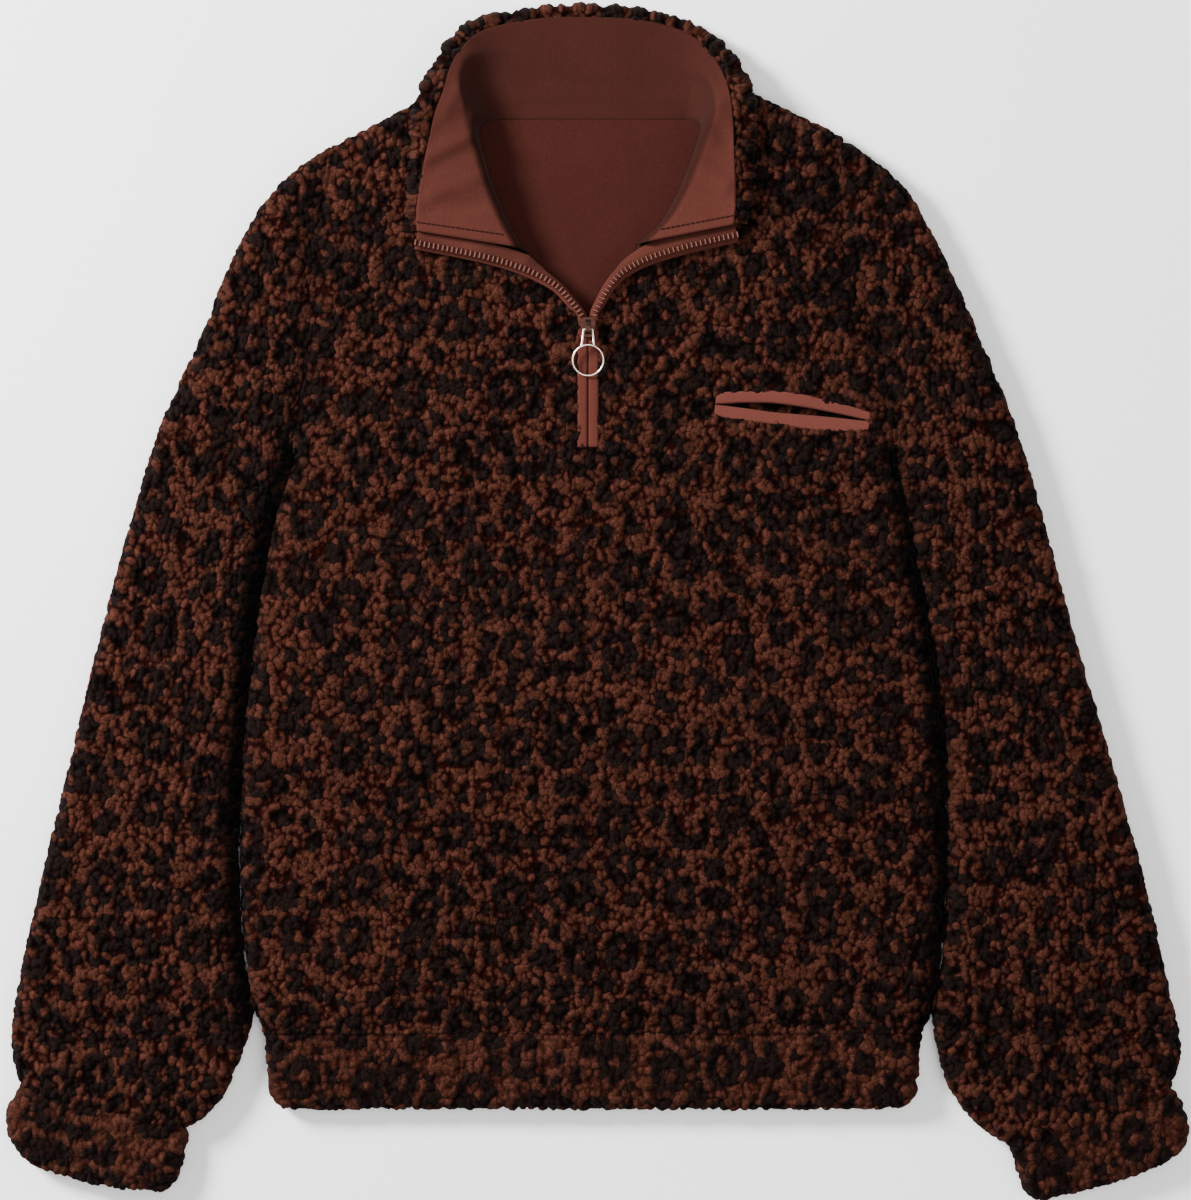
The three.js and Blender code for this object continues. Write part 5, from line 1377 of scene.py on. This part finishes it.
row_tree, given = new_tree("small parts in a row", [
    ("Line", "Geometry", None), ("Pitch", "Float", TOOTH_PITCH * MM),
    ("Size", "Vector", [v * MM for v in TOOTH]), ("Material", "Material", None),
], "Row")
curve = add(row_tree, "GeometryNodeMeshToCurve", {"Mesh": given["Line"]})
steps = add(row_tree, "GeometryNodeCurveToPoints", {"Curve": curve, "Length": given["Pitch"]}, mode="LENGTH")
tooth = add(row_tree, "GeometryNodeMeshCube", {"Size": given["Size"]})
run = {"Vector": steps.outputs["Tangent"]}
run = add(row_tree, "FunctionNodeAlignRotationToVector", run, axis="Y", pivot_axis="Z")
teeth = add(row_tree, "GeometryNodeInstanceOnPoints", {
    "Points": steps.outputs["Points"], "Instance": tooth, "Rotation": run,
})
hand_out(row_tree, teeth, given["Material"])


def line_mesh(name, points):
    mesh = bpy.data.meshes.new(name)
    mesh.from_pydata((np.asarray(points) * MM).tolist(), [(i, i + 1) for i in range(len(points) - 1)], [])
    return mesh


teeth = {}
for name, rows in open_rows.items():
    line = np.column_stack([rows[:, :2], rows[:, 5] + TAPE_LIFT + TAPE_THICK + TOOTH[2] / 2])
    teeth[name] = grown("zip teeth " + name, line_mesh("teeth line", line), row_tree, Material=tooth_metal)
    bevel = teeth[name].modifiers.new("cast edges", "BEVEL")
    bevel.width, bevel.segments = CAST_EDGE * MM, 1
    print("teeth", name, len(teeth[name].data.polygons) // 6)

# %% [markdown]
# ## Topstitching
#
# A row of dark stitches holds the facing beside the open zip. A thread could be a curve that dips in
# and out of the cloth, but from above only short dashes show, so each stitch is a small block.

# %% Topstitching on the turned fronts
STITCH = (0.9, 2.5, 0.35)    # across the row, along it, height
STITCH_PITCH = 3.1
STITCH_FROM_EDGE = 6.5
STITCH_LIFT = 0.1

stitches = {}
for name, order in (("right", 1), ("left", -1)):
    flaps = facing_top[::order]
    middle = [rows[len(rows) // 2] for rows in flaps[:12]]
    away = np.linalg.norm(np.array(middle) - middle[0], axis=1)
    row = flaps[int(np.searchsorted(away, STITCH_FROM_EDGE))]
    painted_light_there = facing_painted_light[::order][0]
    line = row[painted_light_there > 0.99 * painted_light_there.max()][1:-1] + [0, 0, STITCH_LIFT]
    stitches[name] = grown(
        "topstitch " + name, line_mesh("stitch line", line), row_tree,
        Pitch=STITCH_PITCH * MM, Size=[v * MM for v in STITCH], Material=stitch_thread,
    )
    print("stitches", name, len(stitches[name].data.polygons) // 6)

# %% Slider and pull
metal = {}
for node, name, material, width in (
    ("zip_slider", "cast slider", dark_metal, CAST_EDGE), ("zip_pull", "cast pull", pale_metal, 0),
):
    metal[node] = piece(name, merged_copy(node, name), material)
    for polygon in metal[node].data.polygons:
        polygon.use_smooth = width == 0
    if width:
        bevel = metal[node].modifiers.new("cast edges", "BEVEL")
        bevel.width, bevel.segments, bevel.harden_normals = width * MM, 2, True

# %% [markdown]
# ## What the pieces are, and what they ride on
#
# Every cloth's size as it was cut, measured on the piece as it lies, is printed with its area. The
# pieces stand for the solids they dress, which are hidden, and the pull rides on its own body so that it can
# swing.

# %% Cut sizes, hidden solids and bodies
# Width and length of the cut cloth in millimetres, by the node that it dresses
CUTS = {
    "front": (480, 650), "back": (480, 650), "collar": (480, 90), "collar_facing": (430, 90),
    "back_lining": (185, 142), "sleeve_right": (400, 670), "sleeve_left": (400, 670), "hem_band": (880, 50),
    "cuff_right": (250, 50), "cuff_left": (250, 50), "zip_welt_right": (20, 250), "zip_welt_left": (20, 250),
    "zip_tape_right": (12, 160), "zip_tape_left": (12, 160), "pocket_welt_upper": (102, 24),
    "pocket_welt_lower": (102, 24), "pocket_bag": (105, 60),
}
slots = {part["node"]: part["material_slot"] for part in frame["record"]["subparts"]}
with_pieces = {node: [pile] for node, pile in piles.items()}
with_pieces["collar_facing"] = list(stitches.values())
for side in ("right", "left"):
    with_pieces["zip_tape_" + side] = [teeth[side]]


def declare(obj, body, slot, node=None):
    if node:
        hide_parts(node)
    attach(obj, body)


for node, (width, length) in CUTS.items():
    cloth = cloths[node]
    declare(cloth, "garment", slots[node], node)
    half_surface = sum(polygon.area for polygon in cloth.data.polygons) / 2
    area = min(half_surface, width * length * MM * MM)
    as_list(with_pieces.get(node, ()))
    print(cloth.name, "cut", width, "x", length, "mm,", round(area * 1e4), "square cm")
for pieces, slot in ((piles, "sherpa_fleece"), (teeth, "slider_metal"), (stitches, "brown_jersey")):
    for obj in pieces.values():
        declare(obj, "garment", slot)
declare(metal["zip_slider"], "garment", "slider_metal", "zip_slider")
declare(metal["zip_pull"], "zip_pull", "pull_metal", "zip_pull")

# %% [markdown]
# ## Surface, light and camera
#
# The garment was photographed from straight above under a large soft light at the upper left. A pale
# floor catches its soft shadow. The camera stands 3 m up with a long lens, so the sides aren't spread.

# %% Floor and lights
FLOOR_REACH = 3000
floor_corners = [(x * FLOOR_REACH, y * FLOOR_REACH, 0) for x, y in ((-1, -1), (1, -1), (1, 1), (-1, 1))]
paper = new_material("white paper sweep", "#fafafa", Roughness=0.9, Specular_IOR_Level=0.2)[0]
floor = piece("floor", mesh_of("floor", floor_corners, [(0, 1, 2, 3)]), paper)
floor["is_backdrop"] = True

for name, where, size, power in (
    ("soft box", (-1.7, 1.0, 1.35), 0.7, 185), ("fill", (1.2, -0.9, 2.4), 1.6, 30),
    ("top", (0.1, 0.1, 3.4), 1.6, 52),
):
    light = bpy.data.lights.new(name, "AREA")
    light.energy, light.shape, light.size = power, "DISK", size
    lamp = bpy.data.objects.new(name, light)
    lamp.location = where
    lamp.rotation_euler = (-Vector(where)).to_track_quat("-Z", "Y").to_euler()
    bpy.context.scene.collection.objects.link(lamp)
world = bpy.data.worlds.new("studio")
world.use_nodes = True
background = world.node_tree.nodes["Background"].inputs
background["Color"].default_value, background["Strength"].default_value = (1.0, 0.98, 0.96, 1.0), 0.58
bpy.context.scene.world = world

# %% Camera
FRAME_HEIGHT = 780       # what the picture shows from top to bottom
FRAME_MIDDLE = -0.65
CAMERA_HEIGHT = 3.0      # metres
SENSOR = 24

lens = bpy.data.cameras.new("camera")
lens.sensor_fit, lens.sensor_height = "VERTICAL", SENSOR
lens.lens = SENSOR * (CAMERA_HEIGHT - SEAM_LEVEL * MM) / (FRAME_HEIGHT * MM)
lens.clip_end = 20
camera = bpy.data.objects.new("camera", lens)
camera.location = (FRAME_MIDDLE * MM, 0, CAMERA_HEIGHT)
bpy.context.scene.collection.objects.link(camera)
bpy.context.scene.camera = camera

# %% Size of what was made
made_bounds = [[float(value) for value in corner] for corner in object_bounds()]
print("made from", made_bounds[0], "to", made_bounds[1])
